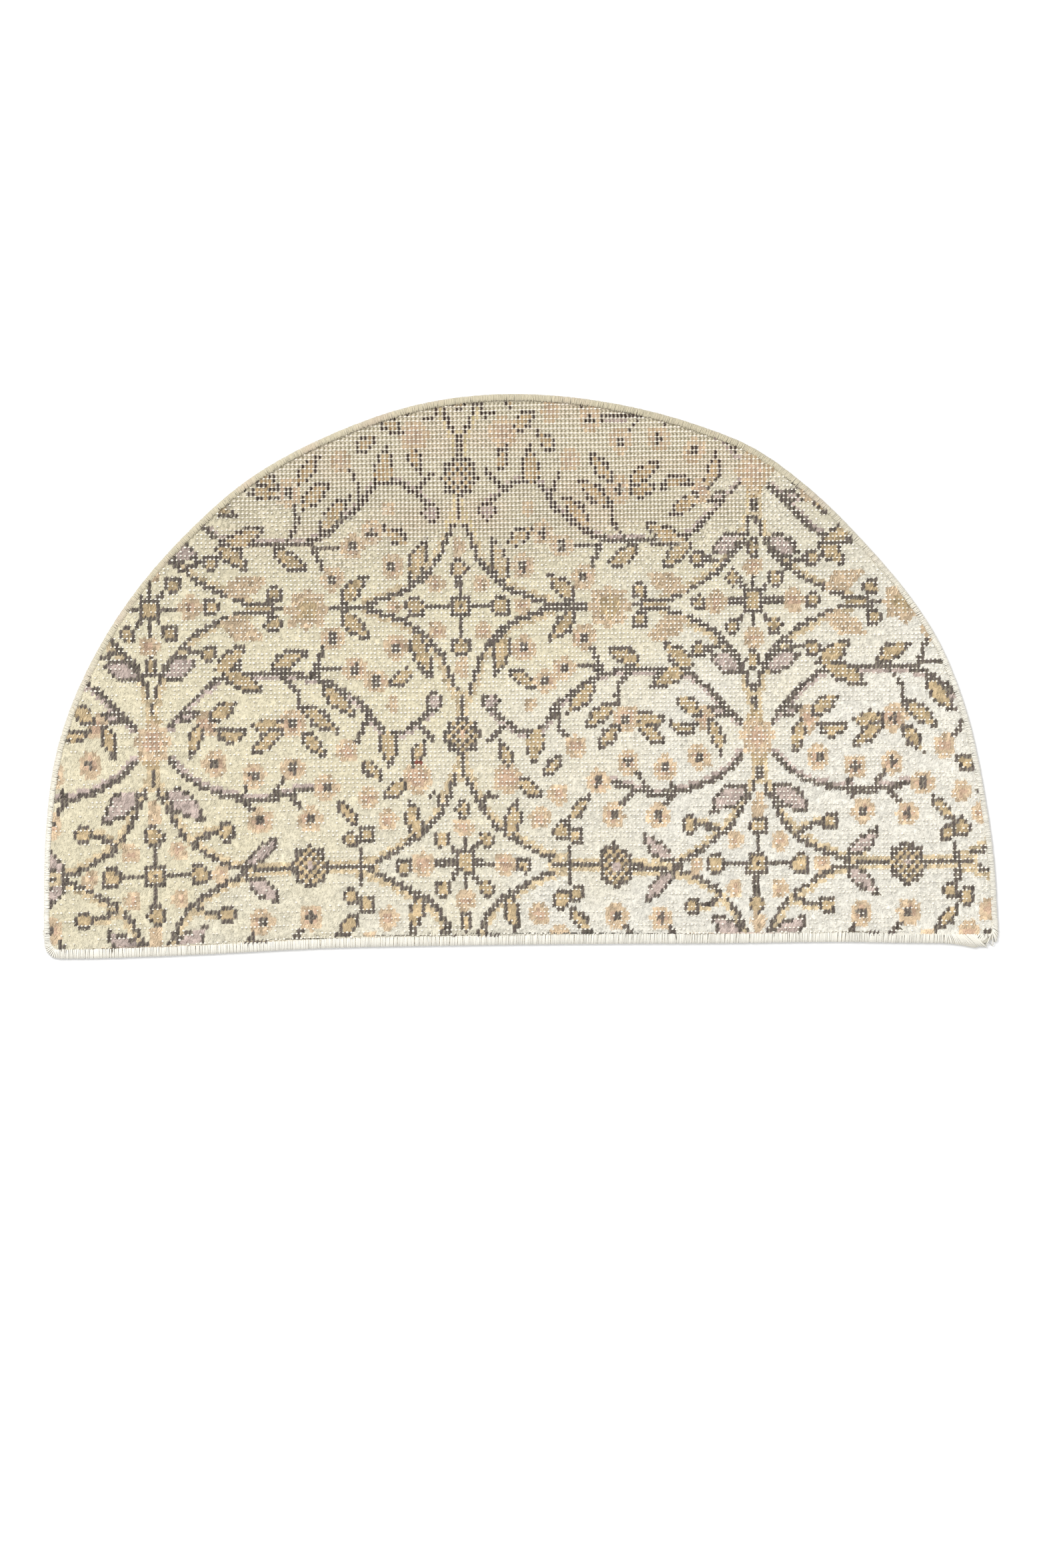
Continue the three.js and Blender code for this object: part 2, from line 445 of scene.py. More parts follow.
def linear(code):
    """A colour's red, green and blue for the shaders, by the screen's curve, from its six figures."""
    parts = [int(code[i : i + 2], 16) / 255 for i in (0, 2, 4)]
    return tuple(c / 12.92 if c <= 0.04045 else ((c + 0.055) / 1.055) ** 2.4 for c in parts)


def length_setting(name, text, default):
    """A setting for a length in metres."""
    return FloatProperty(
        name=name, description=text, default=default, min=0.0, subtype="DISTANCE", precision=5
    )


def colour_setting(name, text, code):
    """A setting for a colour."""
    return FloatVectorProperty(
        name=name, description=text, default=linear(code), min=0.0, max=1.0, size=3, subtype="COLOR"
    )


class RugSizes(PropertyGroup):
    """Sizes of the rug's yarns, in metres"""

    plush: length_setting("Plush height", "Height of the pile where it is full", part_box("field")[1].z)
    worn: length_setting("Worn height", "Height of the pile where it is worn low", 0.0040)
    nap: length_setting("Nap", "Height of the free tips of full pile over the matted pile below", 0.0018)
    stroke: length_setting("Stroke", "Height of the threadbare knots and wefts over the cloth", 0.0014)
    lean: length_setting("Lean", "How far the tips of full pile lean towards the crown", 0.0026)
    hair: length_setting("Hair", "Half the width of a tip of pile at its root", 0.00078)
    float_length: length_setting("Float", "Half the length of a float of weft between two rows", 0.0019)
    weft: length_setting("Weft", "Half the thickness of the cotton weft", 0.0011)
    pinch: length_setting("Pinch", "How far the pile is pressed down beside the overcast edges", 0.0007)
    wound_pitch: length_setting("Wound yarn", "Distance between turns of yarn on the curve", 0.00115)
    comb_pitch: length_setting("Comb", "Distance between stitches that reach over the pile", 0.00150)
    comb_reach: length_setting("Comb reach", "How far those stitches reach over the pile", 0.0013)
    base_pitch: length_setting("Base pitch", "Distance between stitches along the straight edge", 0.00125)


class RugColours(PropertyGroup):
    """Colours of the rug's yarns"""

    ivory_left: colour_setting("Ivory, left", "Full ivory pile at the left", "e8dfc3")
    ivory_right: colour_setting("Ivory, right", "Full ivory pile at the right", "ece8dc")
    ivory_worn: colour_setting("Ivory, worn", "Ivory pile worn low", "8f866d")
    ground_worn: colour_setting("Ground, worn", "Foundation between knots worn low", "c9c0ac")
    charcoal: colour_setting("Charcoal", "Charcoal pile", "665c57")
    charcoal_worn: colour_setting("Charcoal, worn", "Charcoal pile worn low", "30211a")
    gold: colour_setting("Gold", "Gold pile", "d6bf98")
    gold_worn: colour_setting("Gold, worn", "Gold pile worn low", "937650")
    peach: colour_setting("Peach", "Peach pile", "e3cbab")
    peach_worn: colour_setting("Peach, worn", "Peach pile worn low", "a99070")
    mauve: colour_setting("Mauve", "Mauve pile", "d2c0b6")
    mauve_worn: colour_setting("Mauve, worn", "Mauve pile worn low", "86736d")
    straw: colour_setting("Straw", "Straw-coloured pile beside the stems", "e4d0ac")
    straw_worn: colour_setting("Straw, worn", "Straw-coloured pile worn low", "b3a378")
    rose: colour_setting("Rose", "Pinkish pile inside the blossoms", "dcbda2")
    rose_worn: colour_setting("Rose, worn", "Pinkish pile worn low", "a48b72")
    rust: colour_setting("Rust", "Red-brown wool of a mend", "8a5246")
    cotton: colour_setting("Cotton", "Cotton warps and wefts", "fff8e8")
    cotton_crown: colour_setting("Cotton, crown", "Cotton wefts at the crown", "fff5e4")
    edge_crown: colour_setting("Edge, crown", "Overcast yarn round the crown", "c6bda4")
    edge_pink: colour_setting("Edge, pink", "Faint pink patches of the yarn round the crown", "c9b6a2")
    edge_base: colour_setting("Edge, base", "Overcast yarn at the sides and the base", "eeeade")


class StageSettings(PropertyGroup):
    """Floor, lights and camera"""

    floor: colour_setting("Floor", "Colour of the floor", "f4f4f4")
    height: length_setting("Camera height", "Height of the lens over the floor", 3.743)
    lens: FloatProperty(
        name="Lens", description="Focal length of the camera", default=90.0, unit="CAMERA"
    )
    roll: FloatProperty(
        name="Roll", description="Turn of the picture", default=math.radians(1.039), subtype="ANGLE"
    )
    aim_x: FloatProperty(
        name="Aim X", description="Where the camera looks", default=0.0037, unit="LENGTH"
    )
    aim_y: FloatProperty(
        name="Aim Y", description="Where the camera looks", default=-0.104, unit="LENGTH"
    )
    sky: FloatProperty(name="Sky", description="Strength of the even light", default=0.9, min=0.0)
    lamp: FloatProperty(name="Lamp", description="Power of the soft lamp", default=67.0, min=0.0)
    lamp_width: length_setting("Lamp width", "Width of the soft lamp", 1.6)
    lamp_place: FloatVectorProperty(
        name="Lamp place", description="Where the lamp hangs", default=(-1.2, 1.6, 2.6), subtype="XYZ"
    )
    floor_half: length_setting("Floor reach", "Half the width of the floor", 3.0)


# Chart of the pattern


def smooth_line(points):
    """A smooth line through points."""
    p = np.array(points, float)
    ends = np.vstack((2 * p[0] - p[1], p, 2 * p[-1] - p[-2]))
    t = np.linspace(0, 1, LINE_STEPS, endpoint=False)[:, None]
    runs = []
    for a, b, c, d in zip(ends[:-3], ends[1:-2], ends[2:-1], ends[3:]):
        square = 2 * a - 5 * b + 4 * c - d
        cube = 3 * b - a - 3 * c + d
        runs.append(0.5 * (2 * b + (c - a) * t + square * t**2 + cube * t**3))
    return np.vstack((*runs, p[-1:]))


class Chart:
    """The yarn of each knot. Places are in knots, across and down from a square of the repeat."""

    def __init__(self, across, down):
        self.at = np.stack((across, down), axis=-1)
        self.yarn = np.full(across.shape, IVORY)

    def near(self, line):
        """Each knot's distance to a line, its side of it, and how far along the nearest point is."""
        best = np.full(len(self.at), np.inf)
        side = np.zeros(len(self.at))
        along = np.zeros(len(self.at))
        count = len(line) - 1
        for k, (a, b) in enumerate(zip(line[:-1], line[1:])):
            run = b - a
            away = self.at - a
            t = np.clip(away @ run / max(run @ run, LEAST_RUN), 0, 1)
            distance = np.linalg.norm(away - t[:, None] * run, axis=1)
            nearer = distance < best
            best[nearer] = distance[nearer]
            side[nearer] = np.sign(run[0] * away[nearer, 1] - run[1] * away[nearer, 0])
            along[nearer] = (k + t[nearer]) / count
        return best, side, along

    def line(self, points, yarn=CHARCOAL, reach=LINE_REACH):
        """A line of knots."""
        distance, _, _ = self.near(smooth_line(points))
        self.yarn[distance < reach] = yarn

    def edged(self, points, edge=STRAW, side=1, width=1.1, yarn=CHARCOAL):
        """A line of dark knots with a coloured line along one side, or along both for side 0."""
        distance, found, _ = self.near(smooth_line(points))
        beside = (found == side) if side else np.ones(len(distance), bool)
        self.yarn[beside & (distance < LINE_REACH + width)] = edge
        self.yarn[distance < LINE_REACH] = yarn

    def spot(self, centre, size, fill, rim=None):
        """A round blossom or bud of a half width and a half height, with a rim one knot wide."""
        away = self.at - centre
        if rim is not None:
            self.yarn[np.hypot(away[:, 0] / size[0], away[:, 1] / size[1]) < 1] = rim
            size = (size[0] - RIM_REACH, size[1] - RIM_REACH)
        self.yarn[np.hypot(away[:, 0] / size[0], away[:, 1] / size[1]) < 1] = fill

    def blossom(self, centre, size):
        """A round blossom, tan outside and pinkish within."""
        self.spot(centre, size, PEACH)
        self.spot(centre, (size[0] - BLOSSOM_RIM[0], size[1] - BLOSSOM_RIM[1]), ROSE)

    def eye(self, centre, size=2.9):
        """A peach blossom with a dark eye."""
        self.blossom(centre, (size, size))
        self.spot(centre, EYE_SIZE, CHARCOAL)

    def rosette(self, centre, size, fill, petals=8, scallop=0.1, rim=None, heart=ROSE):
        """A round blossom with petals. One with a rim is mottled with its yarn, knot by knot."""
        away = (self.at - centre) / size
        angle = np.arctan2(away[:, 1], away[:, 0])
        radius = np.linalg.norm(away, axis=1) / (1 + scallop * np.cos(petals * angle))
        inner = 1 - 1 / min(size)
        self.yarn[radius < 1] = fill if rim is None else rim
        if rim is None:
            self.yarn[radius < PETALS_HEART] = heart
            return
        odd = np.round(self.at).sum(axis=1) % 2 == 1
        self.yarn[(radius < inner) & odd] = fill
        self.yarn[radius < MOTTLED_HEART] = heart

    def leaf(self, base, tip, wide, fill=GOLD, bend=0.0, rim=CHARCOAL, belly=0.45):
        """A pointed leaf from base to tip, bent to one side, widest a share of the way along."""
        base, tip = np.array(base, float), np.array(tip, float)
        run = tip - base
        turn = (base + tip) / 2 + bend * np.array((run[1], -run[0]))
        t = np.linspace(0, 1, LEAF_POINTS)[:, None]
        line = (1 - t) ** 2 * base + 2 * t * (1 - t) * turn + t**2 * tip
        distance, _, along = self.near(line)
        swell = np.sin(np.pi * np.clip(along, 0, 1) ** (math.log(0.5) / math.log(belly)))
        half = LEAF_POINT + (wide / 2 - LEAF_POINT) * swell
        inside = distance < half
        if rim is None:
            self.yarn[inside] = fill
            return
        self.yarn[inside] = rim
        self.yarn[distance < half - RIM_REACH] = fill


def draw_square(chart, at, heart):
    """The small square in the middle of each star."""
    away = np.abs(chart.at - at)
    reach = away.max(axis=1)
    chart.yarn[(reach < SQUARE_REACH) & (away.sum(axis=1) < SQUARE_CORNERS)] = CHARCOAL
    chart.yarn[reach < SQUARE_FILLING] = GOLD
    chart.yarn[reach < SQUARE_HEART] = heart


def toward(at, across, down):
    """A place measured from a star's middle, into the repeat."""
    return (
        at[0] + (across if at[0] == 0 else -across),
        at[1] + (down if at[1] == 0 else -down),
    )


def draw_blossom_star(chart, at):
    """The star with peach blossoms on its arms and buds between them."""
    chart.line([toward(at, 2, 0), toward(at, 8, 0)])
    chart.line([toward(at, 0, 2), toward(at, 0, 7)])
    chart.line([toward(at, 2, 2), toward(at, 3.2, 4.0), toward(at, 4.6, 5.0)], reach=0.6)
    chart.blossom(toward(at, 9.9, 0), (2.7, 2.9))
    chart.blossom(toward(at, 0, 8.3), (2.6, 2.3))
    chart.spot(toward(at, 14.6, 0), (2.1, 2.0), GOLD, rim=CHARCOAL)
    chart.spot(toward(at, 0, 12.8), (1.7, 2.4), GOLD, rim=CHARCOAL)
    chart.spot(toward(at, 5.3, 5.6), (2.1, 2.1), GOLD, rim=CHARCOAL)
    draw_square(chart, at, GOLD)


def draw_bud_star(chart, at):
    """The star with gold buds on its arms and peach blossoms between them."""
    chart.line([toward(at, 2, 0), toward(at, 9, 0)])
    chart.line([toward(at, 0, 2), toward(at, 0, 7.5)])
    chart.spot(toward(at, 10.5, 0), (2.6, 2.6), GOLD, rim=CHARCOAL)
    chart.spot(toward(at, 0, 9.0), (2.5, 2.3), GOLD, rim=CHARCOAL)
    chart.blossom(toward(at, 5.6, 5.6), (2.1, 2.2))
    chart.blossom(toward(at, 15.7, 0), (2.0, 2.0))
    chart.blossom(toward(at, 0, 14.0), (1.5, 2.7))
    draw_square(chart, at, CHARCOAL)


def draw_trellis(chart):
    """The stems that ring each star, and the blossoms where they meet."""
    upper_left = [(0.6, 20.5), (1.9, 15.8), (4.1, 12.2), (8, 8.6), (10.8, 6.4), (15.3, 4.2), (19.8, 2.2)]
    lower_left = [(0.6, 39.5), (1.6, 42.5), (3.7, 46), (6.4, 50.4), (9.5, 53.5), (14.3, 56.4), (18, 58.2)]
    lower_right = [(73.3, 38.6), (72.3, 40.6), (70.7, 44.4), (69.2, 47.4), (67, 50.1), (64.4, 52.6)]
    upper_right = [(73.3, 21), (72.4, 18.9), (70.8, 15.3), (69.2, 11.2), (65.5, 6.9), (61.7, 4.2)]
    chart.edged([*upper_left, (24, 0.8)], side=1)
    chart.edged([*lower_left, (22, 59.5), (27, 60)], side=-1)
    chart.edged(
        [*lower_right, (61.3, 54.4), (58.6, 55.9), (55.5, 57.5), (52.3, 58.6), (47, 60)], side=1
    )
    chart.edged([*upper_right, (56.5, 2.1), (52, 0.6)], side=-1)
    for start, end in (
        ((0, 21.5), (0, 27)),
        ((0, 34), (0, 40)),
        ((74, 20.5), (74, 27)),
        ((74, 33), (74, 39)),
        ((24, 60), (52, 60)),
    ):
        chart.edged([start, end], side=0, width=1.0)
    chart.line([(23.5, 1), (29, 1)])
    chart.line([(23.5, 0), (29, 0)], yarn=GOLD)
    chart.line([(29, 0), (34, 0)])
    chart.line([(41, 0), (53, 0)])
    chart.spot((0, 26), (2.0, 1.6), GOLD)
    chart.spot((0, 35), (2.0, 1.8), GOLD)
    chart.rosette((0, 30.5), (4.3, 4.4), PEACH, scallop=0.12)
    chart.rosette((74, 30), (4.3, 4.7), GOLD, scallop=0.08, rim=CHARCOAL)
    chart.rosette((37.3, 0), (4.9, 4.6), PEACH, scallop=0.14, heart=GOLD)
    chart.rosette((36.8, 60), (4.5, 4.8), GOLD, scallop=0.08, rim=CHARCOAL, heart=MAUVE)


def draw_trellis_leaves(chart):
    """Leaves and sprigs that grow from the trellis."""
    chart.leaf((3.6, 15.4), (11.2, 12.4), 5.2, MAUVE, bend=0.15)
    chart.line([(8, 8.8), (10.4, 10.2), (12.6, 10.6)])
    chart.spot((14.4, 10.7), (2.1, 2.1), GOLD, rim=CHARCOAL)
    chart.leaf((18, 3.2), (27.4, 7.4), 5.4, PEACH, rim=None)
    chart.spot((29.6, 3.5), (2.1, 2.2), GOLD, rim=CHARCOAL)
    chart.leaf((46.2, 0.8), (51.9, 7.2), 4.4, GOLD, bend=-0.12)
    chart.leaf((63.0, 5.4), (66.4, 16.2), 4.7, GOLD, bend=-0.1)
    chart.leaf((62.0, 14.6), (55.8, 18.6), 4.0, GOLD)
    chart.leaf((3.0, 42.0), (11.8, 47.9), 5.6, MAUVE, bend=0.1)
    chart.spot((0, 46.8), (1.6, 3.1), PEACH)
    chart.edged([(9.4, 52.6), (12, 51.3), (15, 50.8)], side=-1, width=0.9)
    chart.spot((17.2, 50.5), (2.2, 2.2), GOLD, rim=CHARCOAL)
    chart.leaf((21.8, 58.4), (29.4, 52.4), 4.2, MAUVE, bend=-0.1)
    chart.line([(48.4, 56), (48.6, 59)])
    chart.spot((50.3, 52.2), (2.3, 2.3), GOLD, rim=CHARCOAL)
    chart.spot((46.6, 53.6), (2.1, 2.0), GOLD, rim=CHARCOAL)
    chart.leaf((48.2, 50.0), (43.2, 44.8), 3.5, GOLD)
    chart.leaf((63.4, 53.6), (61.4, 44.8), 4.3, GOLD, bend=0.08)
    chart.line([(66.0, 44.0), (67.6, 43.6), (68.6, 45.2), (69.0, 47.0)])


def draw_upper_vine(chart):
    """The long vine over the round cell, with its leaves and blossoms."""
    rising = [(3.8, 27.2), (6.3, 24.6), (10, 21.2), (13.2, 18.4), (16.9, 16), (20, 15), (27, 15)]
    falling = [(35.3, 15.1), (41.2, 16.6), (44.6, 18.8), (49, 22), (51.2, 24.2), (52.8, 27)]
    end = [(55.5, 29), (59.3, 29), (62, 27.6), (65.2, 25), (66.6, 23.6)]
    chart.edged([*rising, *falling, *end], edge=MAUVE, side=1, width=0.7)
    chart.line([(49.2, 22), (50.4, 24.8), (50, 27.6), (48.8, 30.2), (47.6, 31.8)])
    chart.line([(62.6, 27), (65.3, 28.9), (67.4, 31.4)])
    chart.line([(32, 15.4), (34.6, 18.4), (35.4, 21.4), (34.6, 24.2)])
    chart.line([(38.6, 15), (39.8, 12.4), (41.6, 8.8)])
    chart.line([(38.6, 14.6), (42, 13.9), (46, 14)])
    chart.leaf((41.2, 17.4), (47.8, 25.0), 4.4, GOLD, bend=-0.1)
    chart.spot((67.2, 22.0), (2.3, 2.2), MAUVE, rim=CHARCOAL)
    chart.leaf((55.2, 28.8), (56.4, 37.0), 5.8, GOLD, bend=0.08, belly=0.3)
    chart.leaf((29.6, 14.2), (37.6, 10.0), 4.4, GOLD, bend=0.15)
    chart.leaf((17.2, 15.2), (27.0, 19.6), 4.8, GOLD, bend=0.15)
    chart.leaf((15.8, 14.4), (23.0, 9.0), 4.8, GOLD, bend=-0.12)
    chart.leaf((6.8, 25.4), (12.2, 23.8), 2.8, MAUVE)
    chart.eye((58.2, 9.4))
    chart.eye((48.5, 14.2))
    chart.eye((53.2, 17.2))
    chart.eye((43.5, 6.8))
    chart.spot((57, 22.8), (1.5, 1.8), PEACH)


def draw_lower_branch(chart):
    """The branch under the round cell, and the blossoms round it."""
    falling = [(4.2, 34.6), (6.3, 37.2), (9, 39.2), (12, 40.8), (15.5, 42), (19, 43), (23, 43.6)]
    end = [(27, 43.8), (31, 43.2), (35, 42.4), (38.4, 41.9)]
    chart.edged([*falling, *end], edge=MAUVE, side=-1, width=0.8)
    chart.line([(20.8, 43), (22.6, 40.8)])
    chart.line([(27.6, 43.6), (31.0, 39.4)])
    chart.line([(21.4, 43.8), (23.8, 46.2)])
    chart.line([(32, 43.4), (34.8, 46.4)])
    for place in ((14.8, 35.6), (23.8, 38.2), (33.2, 37.2), (40.9, 41.8), (25.4, 48.5), (37.0, 48.9)):
        chart.eye(place)
    chart.blossom((46.0, 33.4), (2.7, 2.8))
    chart.blossom((50.9, 44.0), (2.4, 2.5))
    chart.blossom((55.6, 49.0), (2.6, 2.6))
    chart.blossom((63.1, 39.8), (3.6, 3.5))


def draw_cell_leaves(chart):
    """The loose leaves and blossoms inside the round cell."""
    chart.blossom((13.2, 26.8), (2.6, 3.2))
    chart.eye((33.4, 26.7), size=3.3)
    chart.leaf((14.2, 26.0), (20.6, 21.8), 4.4, GOLD, bend=0.12)
    chart.leaf((15.2, 28.2), (22.6, 27.4), 3.8, GOLD, bend=-0.4)
    chart.leaf((11.6, 26.8), (9.2, 34.6), 3.9, GOLD, bend=-0.1)
    chart.leaf((30.6, 25.8), (23.8, 26.8), 4.8, GOLD, bend=0.3)
    chart.leaf((30.8, 28.0), (23.6, 33.2), 4.0, GOLD)
    chart.leaf((36.2, 23.0), (43.6, 28.8), 4.4, GOLD)
    chart.leaf((35.4, 28.4), (40.8, 34.6), 3.9, GOLD)
    chart.leaf((49.6, 35.6), (54.0, 39.6), 3.7, GOLD)
    chart.leaf((62.4, 36.8), (64.6, 31.2), 3.6, GOLD)
    chart.leaf((60.4, 40.4), (54.6, 44.2), 3.9, GOLD)


def fold(place, repeat):
    """A place along the rug, mirrored at each line of squares into one repeat."""
    within = np.mod(place, 2 * repeat)
    return np.where(within > repeat, 2 * repeat - within, within)


def charted(across, down):
    """The yarn of each knot, for knots counted from the middle column and the upper row of squares."""
    chart = Chart(REPEAT_ACROSS - fold(across, REPEAT_ACROSS), fold(down, REPEAT_DOWN))
    draw_trellis(chart)
    draw_upper_vine(chart)
    draw_lower_branch(chart)
    draw_cell_leaves(chart)
    draw_trellis_leaves(chart)
    for at in ((0, 0), (REPEAT_ACROSS, REPEAT_DOWN)):
        draw_blossom_star(chart, at)
    for at in ((0, REPEAT_DOWN), (REPEAT_ACROSS, 0)):
        draw_bud_star(chart, at)
    return chart.yarn


# Plan of the rug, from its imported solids


def ring_round(points):
    """Points of a closed outline in order, anticlockwise from the left."""
    away = points - OUTLINE_CENTRE
    return points[np.argsort(np.arctan2(away[:, 1], away[:, 0]))]


def node_points(name):
    """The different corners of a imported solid."""
    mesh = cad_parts[name].data
    co = np.empty(len(mesh.vertices) * 3)
    mesh.vertices.foreach_get("co", co)
    return np.unique(np.round(co.reshape(-1, 3), 6), axis=0)


def field_outline():
    """The outline of the knotted field on the floor."""
    corners = node_points("field")
    floor = corners[corners[:, 2] < FLOOR_CLOSE][:, :2]
    rim = np.linalg.norm(floor - OUTLINE_CENTRE, axis=1) > CENTRE_CLOSE
    return ring_round(floor[rim])


def plan_area(ring):
    """Area of a closed outline in plan."""
    after = np.roll(ring, -1, axis=0)
    return abs((ring[:, 0] * after[:, 1] - ring[:, 1] * after[:, 0]).sum()) / 2


def noise(x, y, patches):
    """Smooth uneven values from about -1 to 1 over the plan, by the table of patches."""
    seed, size_x, size_y = PATCHES[patches]
    rng = np.random.default_rng(seed)
    total = np.zeros(np.broadcast(x, y).shape)
    for _ in range(WAVES):
        turn = rng.uniform(0, 2 * np.pi)
        scale = rng.uniform(*WAVE_SCALES)
        phase = rng.uniform(0, 2 * np.pi)
        along = np.cos(turn) * x / size_x + np.sin(turn) * y / size_y
        total += np.sin(2 * np.pi * scale * along + phase)
    return total / math.sqrt(WAVES / 2) / WAVE_REACH


def inset(places, ring):
    """How far places in plan lie inside a closed outline, negative outside it."""
    nearest = np.full(len(places), np.inf)
    inside = np.zeros(len(places), bool)
    for p, q in zip(ring, np.roll(ring, -1, axis=0)):
        run = q - p
        away = places - p
        t = np.clip(away @ run / (run @ run), 0, 1)
        nearest = np.minimum(nearest, np.linalg.norm(away - t[:, None] * run, axis=1))
        crossed = (p[1] > places[:, 1]) != (q[1] > places[:, 1])
        slope = run[0] / run[1] if run[1] else 0.0
        inside ^= crossed & (away[:, 0] < away[:, 1] * slope)
    return np.where(inside, nearest, -nearest)


def smooth_step(values, low, high):
    """A smooth rise from 0 at low to 1 at high."""
    t = np.clip((values - low) / (high - low), 0, 1)
    return t * t * (3 - 2 * t)


def share_of_reach(x, y, middle, reach):
    """How far out a place lies in a patch: 0 at its middle, and 1 at its reach."""
    return np.hypot((x - middle[0]) / reach[0], (y - middle[1]) / reach[1])


def height_at(x, y, sizes):
    """Height of the pile at a place in plan: full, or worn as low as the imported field's top."""
    away = share_of_reach(x, y, WORN_MIDDLE, WORN_REACH)
    wear = 1 - smooth_step(away, WORN_FULLY, 1)
    return sizes.plush - (sizes.plush - sizes.worn) * wear


def threadbare_at(x, y):
    """How threadbare the rug is at a place in plan, from 0 to 1."""
    away = share_of_reach(x, y, THREADBARE_MIDDLE, THREADBARE_REACH)
    away = away + THREADBARE_STRAY * noise(x, y, "threadbare")
    return 1 - smooth_step(away, THREADBARE_FULLY, THREADBARE_ENDS)


def bare_at(x, y):
    """How much of the cotton shows between the knots at a place in plan, from 0 to 1."""
    total = BARE_ALL + threadbare_at(x, y)
    for middle_x, middle_y, reach_x, reach_y, amount in BARE_PATCHES:
        away = ((x - middle_x) / reach_x) ** 2 + ((y - middle_y) / reach_y) ** 2
        total = total + amount * np.exp(-away)
    return np.clip(total + BARE_STRAY * noise(x, y, "bare"), 0, 1)


def light_at(x, y, yarn):
    """The painted shade on full pile of a yarn at a place in plan, as a light beside fully lit pile:
    darker over bare patches, towards the crown and more so for dyed wool.
    """
    crown = 1 - CROWN_PAINTED_SHADE * np.clip(y, 0, None)
    dyed = 1 - DYED_DARKENS * (yarn != IVORY) * np.clip(y - DYED_FROM, 0, None)
    return (1 - BARE_PAINTED_SHADE * bare_at(x, y)) * crown * dyed


def place_of(across, down):
    """Where a knot lies in plan, by its column and its row."""
    x = np.interp(across, WARP_KNOTS, WARP_PLACES)
    y = np.interp(down, DOWN_KNOTS, DOWN_PLACES)
    low = np.clip((BOW_FROM - y) / (BOW_FROM - BOW_FULL), 0, 1)
    y = y + low * np.interp(x, BOW_PLACES, BOW_RISES) + (1 - low) * ROW_TILT * (x - WARP_PLACES[3])
    return x + WARP_STRAY * noise(x, y, "warps"), y + ROW_STRAY * noise(x, y, "rows")


def yarn_at(across, down):
    """The yarn of the knot in a column and a row, for a count that strays by half a knot."""
    stray_across = COUNT_STRAY * noise(across, down, "count_across")
    stray_down = COUNT_STRAY * noise(across, down, "count_down")
    yarn = charted(across + stray_across, down + stray_down)
    for column, row in MENDED:
        yarn[(np.round(across) == column) & (np.round(down) == row)] = RUST
    return yarn


def knot_tones(across, down, yarn):
    """How light or dark each knot's yarn is beside its neighbours', more so where it is dyed."""
    rng = np.random.default_rng(TONE_SEED)
    tones = rng.standard_normal((ROWS[1] - ROWS[0] + 1, COLUMNS[1] - COLUMNS[0] + 1))
    drawn = tones[(down - ROWS[0]).astype(int), (across - COLUMNS[0]).astype(int)]
    return 1 + np.where(yarn == IVORY, IVORY_UNEVEN, DYED_UNEVEN) * drawn


# A hair's four faces unrolled: its three sides point up, and its root fits between two of them
HAIR_MAP = np.array(
    (
        ((1 / 6, 1), (1 / 3, 0), (1 / 2, 1)),
        ((0, 0), (1 / 3, 0), (1 / 6, 1)),
        ((1 / 3, 0), (2 / 3, 0), (1 / 2, 1)),
        ((2 / 3, 0), (1, 0), (5 / 6, 1)),
    )
)


